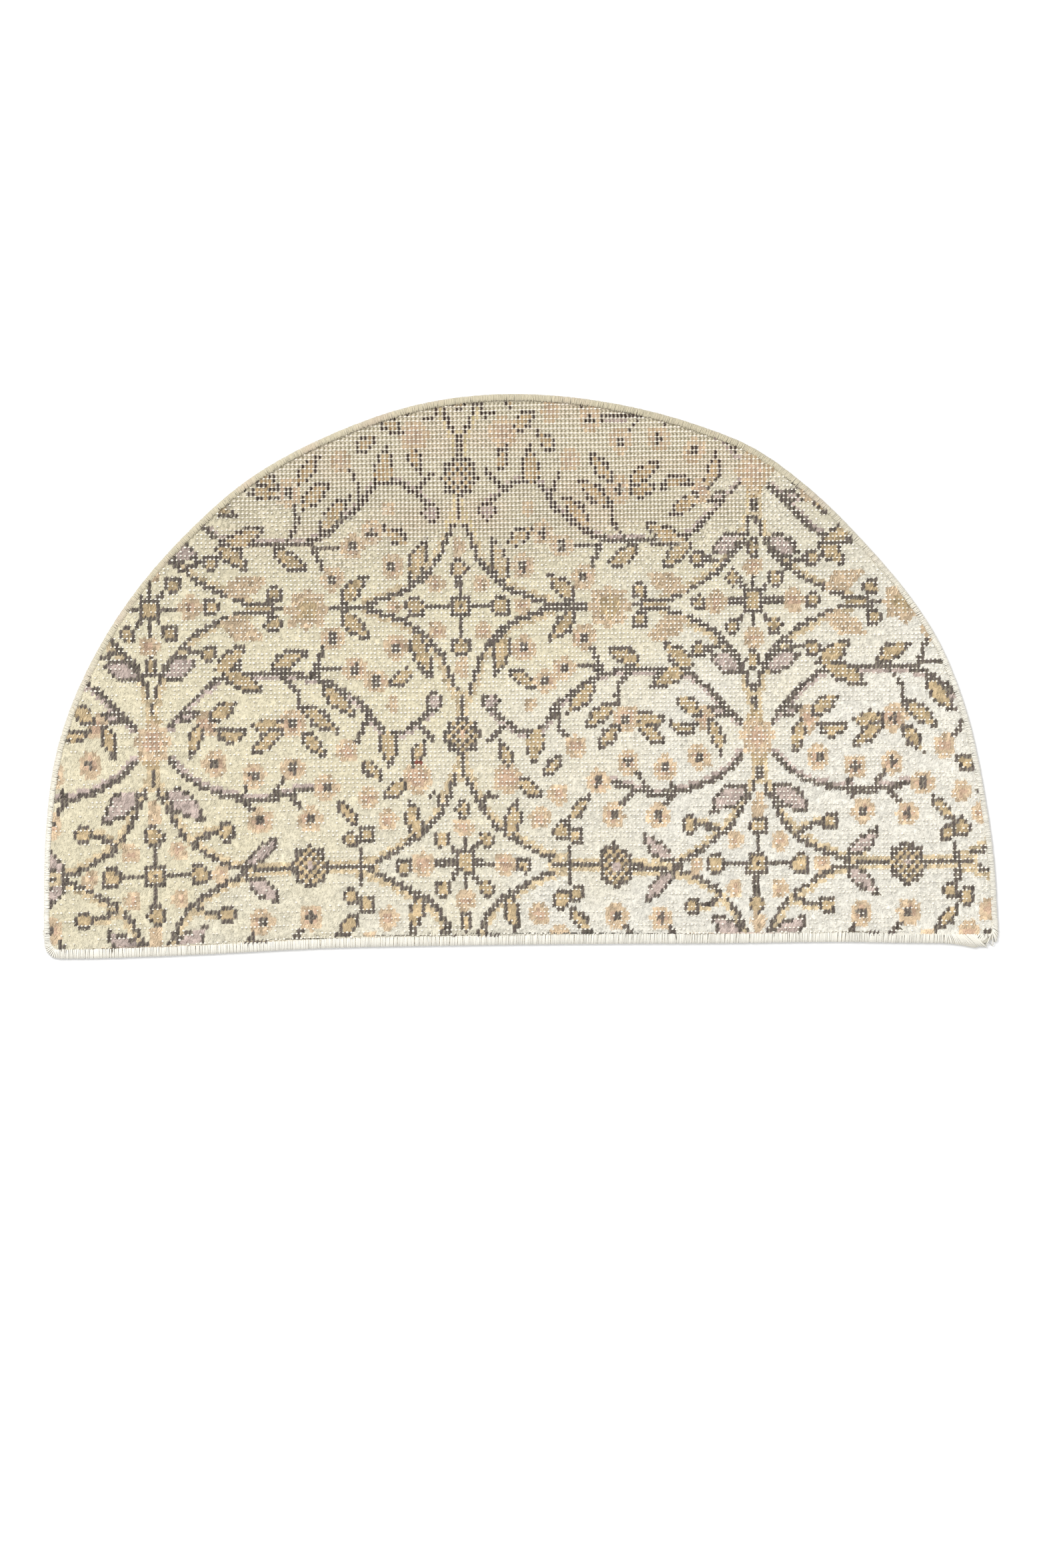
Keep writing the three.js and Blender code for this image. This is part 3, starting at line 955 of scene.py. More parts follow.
class Strands:
    """Many closed strands, gathered for one piece."""

    def __init__(self):
        self.points = []
        self.faces = []
        self.maps = []
        self.values = {"tone": [], "wear": [], "depth": []}
        self.vertices = 0
        self.count = 0

    def add(self, paths, side, wide, thick, sides, tone, wear):
        """Adds strands along paths of stations: a point at each end, and rings between.

        A ring reaches half a width towards the side, and half a thickness up from there.
        """
        count, stations, _ = paths.shape
        run = np.gradient(paths, axis=1)
        run /= np.linalg.norm(run, axis=2, keepdims=True)
        side = np.broadcast_to(np.asarray(side, float)[..., None, :], paths.shape)
        across = side - (side * run).sum(axis=2, keepdims=True) * run
        across /= np.linalg.norm(across, axis=2, keepdims=True)
        up = np.cross(run, across)
        angle = 2 * np.pi * (np.arange(sides) + 0.5) / sides
        thick_each = (count, 1 if np.size(thick) == count else -1, 1, 1)
        cosines, sines = np.cos(angle)[:, None], np.sin(angle)[:, None]
        reach_across = np.reshape(wide, (count, 1, 1, 1)) * cosines * across[:, 1:-1, None]
        reach_up = np.reshape(thick, thick_each) * sines * up[:, 1:-1, None]
        rings = paths[:, 1:-1, None] + reach_across + reach_up
        rings = rings.reshape(count, (stations - 2) * sides, 3)
        points = np.concatenate((paths[:, :1], rings, paths[:, -1:]), axis=1)
        faces, maps = strand_faces(stations, sides)
        per_strand = points.shape[1]
        starts = self.vertices + per_strand * np.arange(count)
        each = np.concatenate(((0,), np.repeat(np.arange(1, stations - 1), sides), (stations - 1,)))
        tone = np.reshape(tone, (count, stations if np.size(tone) > count else 1))
        tone = np.broadcast_to(tone, (count, stations))[:, each]
        self.points.append(points.reshape(-1, 3))
        self.faces.append((faces[None] + starts[:, None, None]).reshape(-1, 3))
        self.maps.append((maps[None], self.count + np.arange(count)))
        self.values["tone"].append(tone.ravel())
        self.values["wear"].append(np.repeat(wear, per_strand))
        self.values["depth"].append(np.tile(each / (stations - 1), count))
        self.vertices += per_strand * count
        self.count += count

    def add_hairs(self, root, tip, half, turn, tone, wear):
        """Adds pointed hairs, each a slender pyramid that stands on its root."""
        count = len(root)
        angle = turn[:, None] + 2 * np.pi * np.arange(3) / 3
        reach = np.stack((np.cos(angle), np.sin(angle), np.zeros(angle.shape)), axis=-1)
        ring = root[:, None] + np.reshape(half, (-1, 1, 1)) * reach
        self.points.append(np.concatenate((ring, tip[:, None]), axis=1).reshape(-1, 3))
        faces = np.array(((0, 2, 1), (0, 1, 3), (1, 2, 3), (2, 0, 3)))
        starts = self.vertices + 4 * np.arange(count)
        self.faces.append((faces[None] + starts[:, None, None]).reshape(-1, 3))
        self.maps.append((HAIR_MAP[None], self.count + np.arange(count)))
        self.values["tone"].append(np.repeat(tone, 4))
        self.values["wear"].append(np.repeat(wear, 4))
        self.values["depth"].append(np.tile((0, 0, 0, 1), count))
        self.vertices += 4 * count
        self.count += count

    def bake_map(self):
        """Each strand's faces in a cell of its own, in rows of cells that fill the map."""
        columns = math.ceil(math.sqrt(self.count))
        rows = math.ceil(self.count / columns)
        corners = []
        for maps, cells in self.maps:
            start = np.stack((cells % columns, cells // columns), axis=1)
            placed = (start[:, None, None] + CELL_GAP + (1 - 2 * CELL_GAP) * maps) / (columns, rows)
            corners.append(placed.reshape(-1, 2))
        return np.concatenate(corners)

    def piece(self, name, material, soft=0.0):
        """The strands as one mesh object. Soft ones are shaded more like a level surface."""
        values = {key: np.concatenate(parts) for key, parts in self.values.items()}
        made = add_mesh(name, np.concatenate(self.points), np.concatenate(self.faces), material, values)
        bake = made.data.uv_layers.new(name="OFBake")
        bake.uv.foreach_set("vector", self.bake_map().astype(np.float32).ravel())
        made.data.shade_smooth()
        if soft:
            soften(made.data, soft)
        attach(made, "root")
        return made


def soften(mesh, share):
    """Turns a mesh's shading a share of the way towards that of a level surface."""
    normals = np.empty(len(mesh.vertices) * 3)
    mesh.vertices.foreach_get("normal", normals)
    normals = (1 - share) * normals.reshape(-1, 3) + share * np.array(UP)
    normals /= np.linalg.norm(normals, axis=1, keepdims=True)
    mesh.normals_split_custom_set_from_vertices(normals)


def strand_faces(stations, sides):
    """Triangles of one closed strand, and their corners on a map of it unrolled."""
    last = (stations - 2) * sides + 1
    faces = []
    maps = []
    for k in range(sides):
        after = (k + 1) % sides
        faces.append((0, 1 + after, 1 + k))
        maps.append(((k + 0.5, 0), (k + 1, 1), (k, 1)))
        for ring in range(stations - 3):
            a, b = 1 + ring * sides, 1 + (ring + 1) * sides
            faces.append((a + k, a + after, b + after))
            maps.append(((k, ring + 1), (k + 1, ring + 1), (k + 1, ring + 2)))
            faces.append((a + k, b + after, b + k))
            maps.append(((k, ring + 1), (k + 1, ring + 2), (k, ring + 2)))
        top = 1 + (stations - 3) * sides
        faces.append((last, top + k, top + after))
        maps.append(((k + 0.5, stations - 1), (k, stations - 2), (k + 1, stations - 2)))
    return np.array(faces), np.array(maps, float) / (sides, stations - 1)


def add_mesh(name, points, faces, material, values=None):
    """A mesh object of triangles, with values at its vertices."""
    mesh = bpy.data.meshes.new(name)
    mesh.vertices.add(len(points))
    mesh.vertices.foreach_set("co", np.ascontiguousarray(points, np.float32).ravel())
    mesh.loops.add(faces.size)
    mesh.loops.foreach_set("vertex_index", np.ascontiguousarray(faces, np.int32).ravel())
    mesh.polygons.add(len(faces))
    mesh.polygons.foreach_set("loop_start", np.arange(0, faces.size, 3, dtype=np.int32))
    mesh.update(calc_edges=True)
    for key, numbers in (values or {}).items():
        mesh.attributes.new(key, "FLOAT", "POINT").data.foreach_set("value", numbers.astype(np.float32))
    mesh.materials.append(material)
    made = bpy.data.objects.new(name, mesh)
    bpy.context.scene.collection.objects.link(made)
    return made


# Finishes


class Value:
    """A socket that is used in sums: each sum on it adds a Math node."""

    def __init__(self, finish, socket):
        self.finish = finish
        self.socket = socket

    def math(self, operation, *values):
        """A Math node's result on values or numbers."""
        return self.finish.node("ShaderNodeMath", {"operation": operation}, dict(enumerate(values)))

    def __add__(self, other):
        return self.math("ADD", self, other)

    def __sub__(self, other):
        return self.math("SUBTRACT", self, other)

    def __mul__(self, other):
        return self.math("MULTIPLY", self, other)

    def __rsub__(self, other):
        return self.math("SUBTRACT", other, self)

    __radd__ = __add__
    __rmul__ = __mul__

    def clamped(self):
        """The value, kept between 0 and 1."""
        return self.finish.node("ShaderNodeClamp", {}, {0: self})


class Finish:
    """A material and the nodes that it is made of."""

    def __init__(self, name):
        self.material = bpy.data.materials.new(name)
        self.material.use_nodes = True
        self.tree = self.material.node_tree
        self.tree.nodes.clear()

    def node(self, kind, settings, inputs, output=0):
        """Adds a node of a kind, sets it, then gives its sockets values or links.

        Its result is one of its outputs, or nothing for a node that ends the finish.
        """
        made = self.tree.nodes.new(kind)
        for key, setting in settings.items():
            setattr(made, key, setting)
        for key, value in inputs.items():
            if isinstance(value, Value):
                self.tree.links.new(value.socket, made.inputs[key])
            else:
                made.inputs[key].default_value = value
        return None if output is None else Value(self, made.outputs[output])

    def attribute(self, name):
        """A value that the mesh holds."""
        return self.node("ShaderNodeAttribute", {"attribute_name": name}, {}, "Fac")

    def mix(self, share, first, second, blend="MIX"):
        """A colour between two, or a blend of them."""
        sockets = {0: share}
        for key, colour in ((6, first), (7, second)):
            sockets[key] = colour if isinstance(colour, Value) else (*colour, 1.0)
        settings = {"data_type": "RGBA", "blend_type": blend}
        return self.node("ShaderNodeMix", settings, sockets, 2)

    def speckle(self, size, detail=2.0, stretch=(1.0, 1.0, 1.0)):
        """Fine uneven values of a size in metres, from 0 to 1."""
        place = self.node("ShaderNodeTexCoord", {}, {}, "Object")
        scaled = self.node("ShaderNodeMapping", {}, {"Vector": place, "Scale": stretch})
        sockets = {"Vector": scaled, "Scale": 1 / size, "Detail": detail}
        return self.node("ShaderNodeTexNoise", {}, sockets)

    def place(self, axis):
        """The place along one axis, in metres."""
        place = self.node("ShaderNodeTexCoord", {}, {}, "Object")
        return self.node("ShaderNodeSeparateXYZ", {}, {0: place}, axis)

    def uneven(self, values, amount):
        """Light that goes up and down round 1, by an amount in all, with values from 0 to 1."""
        return (1 - amount / 2) + amount * values

    def side_light(self):
        """The painted light that grows from the left to the right."""
        return 1.0 + SIDE_LIGHT * self.place("X")

    def lit(self, colour, light):
        """A colour made lighter or darker by a value."""
        grey = self.node("ShaderNodeCombineColor", {}, {0: light, 1: light, 2: light})
        return self.mix(1.0, colour, grey, "MULTIPLY")

    def shaded(self, colour, strength, bump=None, **constants):
        """Ends the finish with its shader, whose constants go straight on its sockets."""
        sockets = {"Base Color": colour, "Specular IOR Level": SPECULAR, **constants}
        if bump is not None:
            depth = {"Height": bump, "Strength": strength, "Distance": BUMP_HEIGHT}
            sockets["Normal"] = self.node("ShaderNodeBump", {}, depth)
        shader = self.node("ShaderNodeBsdfPrincipled", {}, sockets)
        self.node("ShaderNodeOutputMaterial", {}, {"Surface": shader}, None)
        return self.material


def yarn_finish(name, fresh, worn, root):
    """Yarn that is greyer where it is worn and darker at its root by painted shade, with fine uneven
    fibres.
    """
    finish = Finish(name)
    fibres = finish.speckle(FIBRE, 3.0, FIBRE_STRETCH)
    patches = finish.speckle(YARN_PATCH)
    colour = finish.mix(finish.attribute("wear"), fresh, worn)
    depth = finish.attribute("depth")
    # Painted shade at the root, where depth is 0, fading out towards the tip
    light = finish.attribute("tone") * (root + (1 - root) * depth)
    light = light * finish.uneven(fibres, FIBRE_UNEVEN)
    light = light * finish.uneven(patches, PATCH_UNEVEN) * finish.side_light()
    return finish.shaded(finish.lit(colour, light), FIBRE_BUMP, fibres, **WOOL_SHEEN)


def ivory_side(finish):
    """How far ivory wool goes over from the left's yellow to the lower right's grey, in patches."""
    patches = finish.speckle(IVORY_PATCH)
    side = finish.place("X") * IVORY_TO_RIGHT - finish.place("Y") * IVORY_DOWN + IVORY_MIDDLE
    return (side + (patches - 0.5) * IVORY_SPREAD).clamped()


def ivory_wool(colours):
    """The ground's wool, which goes over from yellow to grey in soft patches."""
    finish = Finish("ivory_wool")
    fresh = finish.mix(ivory_side(finish), colours.ivory_left, colours.ivory_right)
    colour = finish.mix(finish.attribute("wear"), fresh, colours.ivory_worn)
    fibres = finish.speckle(FIBRE, 3.0, FIBRE_STRETCH)
    depth = finish.attribute("depth")
    # Painted shade at the root, where depth is 0, fading out towards the tip
    light = finish.attribute("tone") * (IVORY_ROOT_SHADE + (1 - IVORY_ROOT_SHADE) * depth)
    light = light * finish.uneven(fibres, IVORY_FIBRE_UNEVEN) * finish.side_light()
    return finish.shaded(finish.lit(colour, light), FIBRE_BUMP, fibres, **WOOL_SHEEN)


def edge_finish(colours):
    """Overcast yarn: off-white low down, and beige with faint pink patches round the crown."""
    finish = Finish("edge_yarn")
    fibres = finish.speckle(EDGE_FIBRE, 3.0)
    high = finish.attribute("wear")
    pink = ((finish.speckle(PINK_PATCH, 1.0) - 0.5) * PINK_SHARPNESS).clamped() * PINK_MOST
    crown = finish.mix(pink, colours.edge_crown, colours.edge_pink)
    colour = finish.mix(high, colours.edge_base, crown)
    # The tone holds painted shade: down the cut rim of the wound stitches, and on the core between them
    light = finish.attribute("tone") * finish.uneven(fibres, FIBRE_UNEVEN)
    return finish.shaded(finish.lit(colour, light), FIBRE_BUMP, fibres, **WOOL_SHEEN)


def cloth_finish(colours):
    """The foundation: matted pile or worn knots on top, and the knots' backs underneath."""
    finish = Finish("knotted_cloth")
    shade = finish.node("ShaderNodeAttribute", {"attribute_name": "knot_shade"}, {}, "Color")
    right = finish.attribute("ground") * ivory_side(finish)
    colour = finish.mix(right, shade, colours.ivory_right)
    threads = finish.speckle(THREAD, 3.0)
    # The alpha holds the knots' tones and painted shade, and painted light grows to the right
    light = finish.node("ShaderNodeAttribute", {"attribute_name": "knot_shade"}, {}, "Alpha")
    light = light * (THREAD_GAPS + THREAD_LIGHT * threads) * finish.side_light()
    return finish.shaded(finish.lit(colour, light), THREAD_BUMP, threads, **WOOL_SHEEN)


def floor_finish(settings):
    """A pale matt floor, faintly uneven."""
    finish = Finish("pale_floor")
    light = finish.uneven(finish.speckle(FLOOR_PATCH, 1.0), FLOOR_UNEVEN)
    return finish.shaded(finish.lit(settings.floor, light), 0.0, **{"Roughness": FLOOR_ROUGHNESS})


# The knotted field


def every_pair(columns, rows):
    """Each column with each row, as two flat lists."""
    return (grid.ravel() for grid in np.meshgrid(columns, rows))


def knot_table():
    """Every knot of the field: its place, its yarn, how worn and bare it is, and how light its painted
    shade leaves it.
    """
    across, down = every_pair(np.arange(COLUMNS[0], COLUMNS[1] + 1), np.arange(ROWS[0], ROWS[1] + 1))
    x, y = place_of(across, down)
    depth = inset(np.stack((x, y), axis=1), field_outline())
    kept = depth > KNOT_CLEAR
    across, down, x, y = across[kept], down[kept], x[kept], y[kept]
    yarn = yarn_at(across, down)
    return {
        "x": x,
        "y": y,
        "inset": depth[kept],
        "yarn": yarn,
        "tone": knot_tones(across, down, yarn),
        "wear": threadbare_at(x, y),
        "bare": bare_at(x, y),
        "light": light_at(x, y, yarn),
    }


def pick(table, chosen):
    """The chosen rows of a table."""
    return {key: column[chosen] for key, column in table.items()}


def bed_height(x, y, wear, depth, sizes):
    """Height of the matted pile that the free tips stand in, or of bare knots where threadbare."""
    pinch = sizes.pinch * (1 - smooth_step(depth, PINCH_FULL, PINCH_ENDS))
    return height_at(x, y, sizes) - (sizes.nap + pinch) * (1 - wear) - sizes.stroke * wear


def bed_under(some, sizes):
    """Places of knots in plan, and the height of the bed under them."""
    floor = bed_height(some["x"], some["y"], some["wear"], some["inset"], sizes)[:, None]
    return np.stack((some["x"], some["y"]), axis=1), floor


def repeated(knots, number, rng):
    """Each knot as often as a number, rounded up or down by chance."""
    number = number + rng.random(len(knots["x"]))
    return pick(knots, np.repeat(np.arange(len(number)), number.astype(int)))


def add_arms(strands, knots, sizes, rng):
    """The two arms of the > that each knot shows where the pile is worn low."""
    some = pick(knots, rng.random(len(knots["x"])) < ARM.chance * knots["wear"])
    at, floor = bed_under(some, sizes)
    count = len(at)
    dyed = some["yarn"] != IVORY
    half = np.where(dyed[:, None], ARM.dyed_half, ARM.ivory_half)
    half = half * rng.uniform(*ARM.half_range, (count, 1))
    wear = some["wear"] * np.where(dyed, rng.uniform(*ARM.dyed_wear, count), 1.0)
    for arm in (-1, 1):
        stray = rng.standard_normal((count, 6))
        root = ARM.root * (1, arm) + ARM.root_stray * stray[:, :2]
        tip = ARM.tip * (1, arm) + ARM.tip_stray * stray[:, 2:4]
        start = np.hstack((at + root, floor - BURIED))
        end = np.hstack((at + tip, floor + ARM.rise + ARM.rise_stray * stray[:, 4:5]))
        middle = start + ARM.bulge_at * (end - start) + (0, 0, ARM.bulge)
        wide = half * (1 + ARM.half_stray * stray[:, 5:6])
        tone = some["tone"] * (1 + ARM.tone_stray * rng.standard_normal(count))
        paths = np.stack((start, middle, end), axis=1)
        strands.add(paths, ACROSS, wide, wide * ARM.flatness, STRAND_SIDES, tone, wear)


def add_locks(strands, knots, sizes, rng, each):
    """The leaning locks of full pile, by which a dyed knot shows as a slanted stroke."""
    some = repeated(knots, each * (1 - knots["wear"]), rng)
    at, floor = bed_under(some, sizes)
    stray = rng.standard_normal((len(at), 6))
    low = at + PITCH * LOCK.root + LOCK.root_stray * stray[:, :2]
    high = at + PITCH * LOCK.tip + LOCK.tip_stray * stray[:, 2:4]
    paths = [np.hstack((low + t * (high - low), floor + rise)) for t, rise in LOCK.stations]
    wide = LOCK.half * (1 + LOCK.half_stray * stray[:, 4])
    tone = some["tone"] * (1 + LOCK.tone_stray * stray[:, 5])
    paths = np.stack(paths, axis=1)
    strands.add(paths, ACROSS, wide, wide * LOCK.flatness, STRAND_SIDES, tone, some["wear"])


def add_nap(strands, knots, sizes, rng, each, strewn=NAP.strewn):
    """The free tips of full pile: pointed hairs that lean towards the crown in swirls."""
    some = repeated(knots, each * (1 - knots["wear"]) * (NAP.most - NAP.bare_fewer * knots["bare"]), rng)
    at, floor = bed_under(some, sizes)
    count = len(at)
    spread = rng.uniform(-NAP.strewn, NAP.strewn, (count, 2))
    spread[:, 0] = spread[:, 0] * strewn / NAP.strewn + (NAP.strewn - strewn) * spread[:, 1]
    root = at + spread * PITCH - (0, NAP.set_back * sizes.lean)
    swirl = np.stack([noise(*at.T, patches) for patches in ("lean_across", "lean_along")], axis=1)
    lean = (NAP.lean_across * sizes.lean, sizes.lean) + NAP.lean_swirl * sizes.lean * swirl
    lean = lean + NAP.lean_stray * sizes.lean * rng.standard_normal((count, 2))
    short = 1 - NAP.bare_shorter * some["bare"][:, None]
    rise = sizes.nap + NAP.rise_stray * rng.standard_normal((count, 1))
    rise = rise * (1 - NAP.worn_lower * some["wear"][:, None])
    half = sizes.hair * rng.uniform(*NAP.half_range, count)
    # The tone takes in the knot's painted shade from light_at
    tone = some["tone"] * some["light"] * (1 + NAP.tone_stray * rng.standard_normal(count))
    start = np.hstack((root, floor - BURIED))
    end = np.hstack((root + short * lean, floor + rise))
    turn = rng.uniform(0, 2 * np.pi, count)
    strands.add_hairs(start, end, half, turn, tone, some["wear"])


def shown_wefts(rng, flat):
    """Places between the knots where a float or a bead of weft shows, how worn they are, and strays."""
    columns, rows = np.arange(*COLUMNS) + 0.5, np.arange(*ROWS) + 0.5
    across, down = every_pair(columns, rows)
    x, y = place_of(across, down)
    wear = threadbare_at(x, y)
    stray = rng.standard_normal((len(x), 4))
    chance = rng.random(len(x))
    inside = inset(np.stack((x, y), axis=1), field_outline()) > WEFT.inset
    band = wear + WEFT.floats_stray * stray[:, 0] > WEFT.floats_from
    bare = bare_at(x, y) + ROW_RUNS * noise(across, down, "row_runs") * (1 - wear)
    shown = inside & (chance < bare) & (band == flat)
    return x[shown], y[shown], wear[shown], stray[shown]


def add_wefts(strands, sizes, rng, flat):
    """Cotton wefts: floats between the rows where the rug is threadbare, and beads elsewhere."""
    x, y, wear, stray = shown_wefts(rng, flat)
    count = len(x)
    size = rng.uniform(*(WEFT.float_sizes if flat else WEFT.bead_sizes), count)
    thick = sizes.weft * size
    top = height_at(x, y, sizes) - WEFT.under
    middle = np.stack((x + WEFT.stray * stray[:, 1], y + WEFT.stray * stray[:, 2], top), axis=1)
    if flat:
        run = np.stack((np.ones(count), WEFT.float_turn * stray[:, 3], np.zeros(count)), axis=1)
        reach = (sizes.float_length * size)[:, None] * run
        sunk = np.array((0, 0, WEFT.float_sink))
        ends = (middle - reach - sunk, middle, middle + reach - sunk)
        wide = thick
        sides = STRAND_SIDES
    else:
        ends = [middle + (0, 0, up) for up in (WEFT.bead_foot, WEFT.bead_middle, WEFT.bead_head)]
        wide = thick * (WEFT.bead_width[0] + WEFT.bead_width[1] * stray[:, 3])
        thick = thick * (WEFT.bead_length[0] + WEFT.bead_length[1] * stray[:, 0])
        sides = BEAD_SIDES
    tone = 1 + WEFT.tone_stray * rng.standard_normal(count)
    strands.add(np.stack(ends, axis=1), ALONG, wide, thick, sides, tone, wear)


# The foundation


def rim_run(ring, above):
    """The outline's points over or under a height in plan, from left to right."""
    dense = []
    for p, q in zip(ring, np.roll(ring, -1, axis=0)):
        steps = max(int(np.linalg.norm(q - p) / OUTLINE_STEP), 1)
        dense.extend(p + (q - p) * t for t in np.arange(steps) / steps)
    dense = np.array(dense)
    kept = dense[above(dense[:, 0], dense[:, 1])]
    return kept[np.argsort(kept[:, 0])]


def cloth_lines(ring):
    """Lines of points over the foundation, between its rows of knots, from the straight edge up."""
    lines = []
    rng = np.random.default_rng(CORNER_SEED)
    edges = np.arange(*COLUMNS) + 0.5
    fine = np.arange(COLUMNS[0], COLUMNS[1] + FINE_STEP, FINE_STEP)
    rows = []
    for row in np.arange(ROWS[1], ROWS[0] - 1, -1) - 0.5:
        x, y = place_of(fine, np.full(len(fine), row))
        depth = inset(np.stack((x, y), axis=1), ring)
        inside = np.flatnonzero(depth > 0)
        if len(inside) < LEAST_STEPS:
            continue
        ends = []
        for k, step in ((inside[0], -1), (inside[-1], 1)):
            t = depth[k] / (depth[k] - depth[k + step])
            ends.append((x[k] + t * (x[k + step] - x[k]), y[k] + t * (y[k + step] - y[k])))
        inner_x, inner_y = place_of(edges, np.full(len(edges), row))
        stray = CORNER_STRAY * rng.standard_normal((2, len(edges)))
        inner_x, inner_y = inner_x + stray[0], inner_y + stray[1]
        kept = (inner_x > ends[0][0] + SIDE_CLEAR) & (inner_x < ends[1][0] - SIDE_CLEAR)
        lines.append(np.vstack((ends[0], np.stack((inner_x[kept], inner_y[kept]), axis=1), ends[1])))
        rows.append(row)
    low, high = lines[0], lines[-1]
    under = rim_run(ring, lambda x, y: y < np.interp(x, low[:, 0], low[:, 1]) - ROW_CLEAR)
    over = rim_run(ring, lambda x, y: y > np.interp(x, high[:, 0], high[:, 1]) + ROW_CLEAR)
    return [under, *lines, over], [rows[0] + 1, *rows]


def zipped(lower, upper, x):
    """Triangles between two lines of vertices, both from left to right."""
    i, j = 0, 0
    faces = []
    while i < len(lower) - 1 or j < len(upper) - 1:
        left_over = i < len(lower) - 1
        if j == len(upper) - 1 or (left_over and x[lower[i + 1]] < x[upper[j + 1]]):
            faces.append((lower[i], lower[i + 1], upper[j]))
            i += 1
        else:
            faces.append((lower[i], upper[j + 1], upper[j]))
            j += 1
    return faces


def cloth_mesh(sizes):
    """The foundation as a closed sheet: its points, its triangles, and the row of each of its top."""
    ring = field_outline()
    lines, rows = cloth_lines(ring)
    plan = np.vstack(lines)
    starts = np.cumsum([0] + [len(line) for line in lines])
    faces = []
    face_rows = []
    for k, row in enumerate(rows):
        lower = np.arange(starts[k], starts[k + 1])
        upper = np.arange(starts[k + 1], starts[k + 2])
        added = zipped(lower, upper, plan[:, 0])
        faces.extend(added)
        face_rows.extend([row - 0.5] * len(added))
    top = np.array(faces)
    count = len(plan)
    forward = {(a, b) for face in faces for a, b in zip(face, (*face[1:], face[0]))}
    walls = []
    for a, b in sorted(forward):
        if (b, a) not in forward:
            walls.append((a + count, b + count, b))
            walls.append((a + count, b, a))
    depth = np.abs(inset(plan, ring))
    ripple = RIPPLE * noise(*plan.T, "ripple")
    heights = bed_height(*plan.T, threadbare_at(*plan.T), depth, sizes) + ripple
    points = np.vstack((np.column_stack((plan, heights)), np.column_stack((plan, np.zeros(count)))))
    return points, np.vstack((top, top[:, ::-1] + count, np.array(walls))), np.array(face_rows)


def knot_shades(points, faces, face_rows, colours):
    """A colour and a light for each triangle: knot backs below, matted pile or worn ground on top. The
    light holds the knots' tones and their painted shade.
    """
    yarns = np.array([colours.ivory_left, *(getattr(colours, name) for name in YARNS[1:])])
    count = len(face_rows)
    middles = points[faces[:count]].mean(axis=1)
    columns = np.round(np.interp(middles[:, 0], WARP_PLACES, WARP_KNOTS))
    yarn = yarn_at(columns, face_rows)
    tones = knot_tones(columns, face_rows, yarn)[:, None]
    backs = yarns[yarn] * tones
    yarns[CHARCOAL] = DARK_BED * yarns[CHARCOAL] + (1 - DARK_BED) * yarns[IVORY]
    x, y = middles[:, 0], middles[:, 1]
    low = threadbare_at(x, y)[:, None]
    # Painted shade from light_at, with the knots' tones, goes into the shade's alpha
    light = tones * light_at(x, y, yarn)[:, None]
    pink = GROUND_PINK * np.clip(noise(x, y, "pink"), 0, 1)[:, None]
    ground = (1 - pink) * np.array(colours.ground_worn) + pink * np.array(colours.edge_pink)
    worn = (1 - GROUND_DYED) * ground + GROUND_DYED * backs
    shades = np.tile((*colours.edge_crown, 1.0), (len(faces), 1))
    shades[:count, :3] = yarns[yarn] * (1 - low) + worn * low
    shades[:count, 3:] = light * (1 - low) + low
    shades[count : 2 * count, :3] = backs * BACKS_LIGHT
    fresh = np.zeros(len(faces))
    fresh[:count] = (yarn == IVORY) * (1 - low[:, 0])
    return shades, fresh


def cloth_map(points, faces, count):
    """The foundation's map: top in the upper half, underside in the lower, rim along the foot."""
    low, high = points.min(axis=0), points.max(axis=0)
    plan = (points[:, :2] - low[:2]) / (high[:2] - low[:2])
    corners = plan[faces] * (1 - 2 * MAP_SIDE, MAP_HALF) + (MAP_SIDE, MAP_FOOT)
    corners[:count, :, 1] += MAP_STEP
    walls = len(faces) - 2 * count
    sides = ((STRIP_LEFT, STRIP_RIGHT, STRIP_RIGHT), (STRIP_LEFT, STRIP_RIGHT, STRIP_LEFT))
    across = np.arange(walls)[:, None] // 2 + np.tile(sides, (walls // 2, 1))
    heights = ((STRIP_LOW, STRIP_LOW, STRIP_HIGH), (STRIP_LOW, STRIP_HIGH, STRIP_HIGH))
    up = np.tile(heights, (walls // 2, 1))
    corners[2 * count :] = np.stack((across / (walls / 2), up), axis=-1)
    return corners.reshape(-1, 2)


def edge_stations(node):
    """Plan points along an overcast edge's inner and outer lines, in order of angle."""
    corners = node_points(node)
    sorted_lines = []
    for level in (INNER_LEVEL, OUTER_LEVEL):
        line = corners[np.abs(corners[:, 2] - level) < LEVEL_CLOSE][:, :2]
        away = line - OUTLINE_CENTRE
        angle = np.mod(np.arctan2(away[:, 1], away[:, 0]) - WOUND.starts[node], 2 * np.pi)
        sorted_lines.append(line[np.argsort(angle)])
    return sorted_lines


class Edge:
    """An overcast edge: its inner and outer lines in plan, and the length run along them."""

    def __init__(self, node):
        self.inner, self.outer = edge_stations(node)
        steps = np.linalg.norm(np.diff(self.inner, axis=0), axis=1)
        self.run = np.concatenate(((0,), np.cumsum(steps)))

    def spaced(self, pitch, rng, ease):
        """Uneven places for stitches all along."""
        length = self.run[-1]
        count = int(length / pitch)
        return (np.arange(count) + 0.5 + ease * rng.standard_normal(count)) * length / count

    def between(self, line, at):
        """Points on a line at lengths along the edge."""
        return np.stack([np.interp(at, self.run, line[:, k]) for k in (0, 1)], axis=1)

    def places(self, at):
        """Points on the inner line, the reaches to the outer line, and the edge's directions."""
        base = self.between(self.inner, at)
        direction = self.between(self.inner, at + 0.5 * MM) - self.between(self.inner, at - 0.5 * MM)
        direction /= np.linalg.norm(direction, axis=1, keepdims=True)
        return base, self.between(self.outer, at) - base, direction


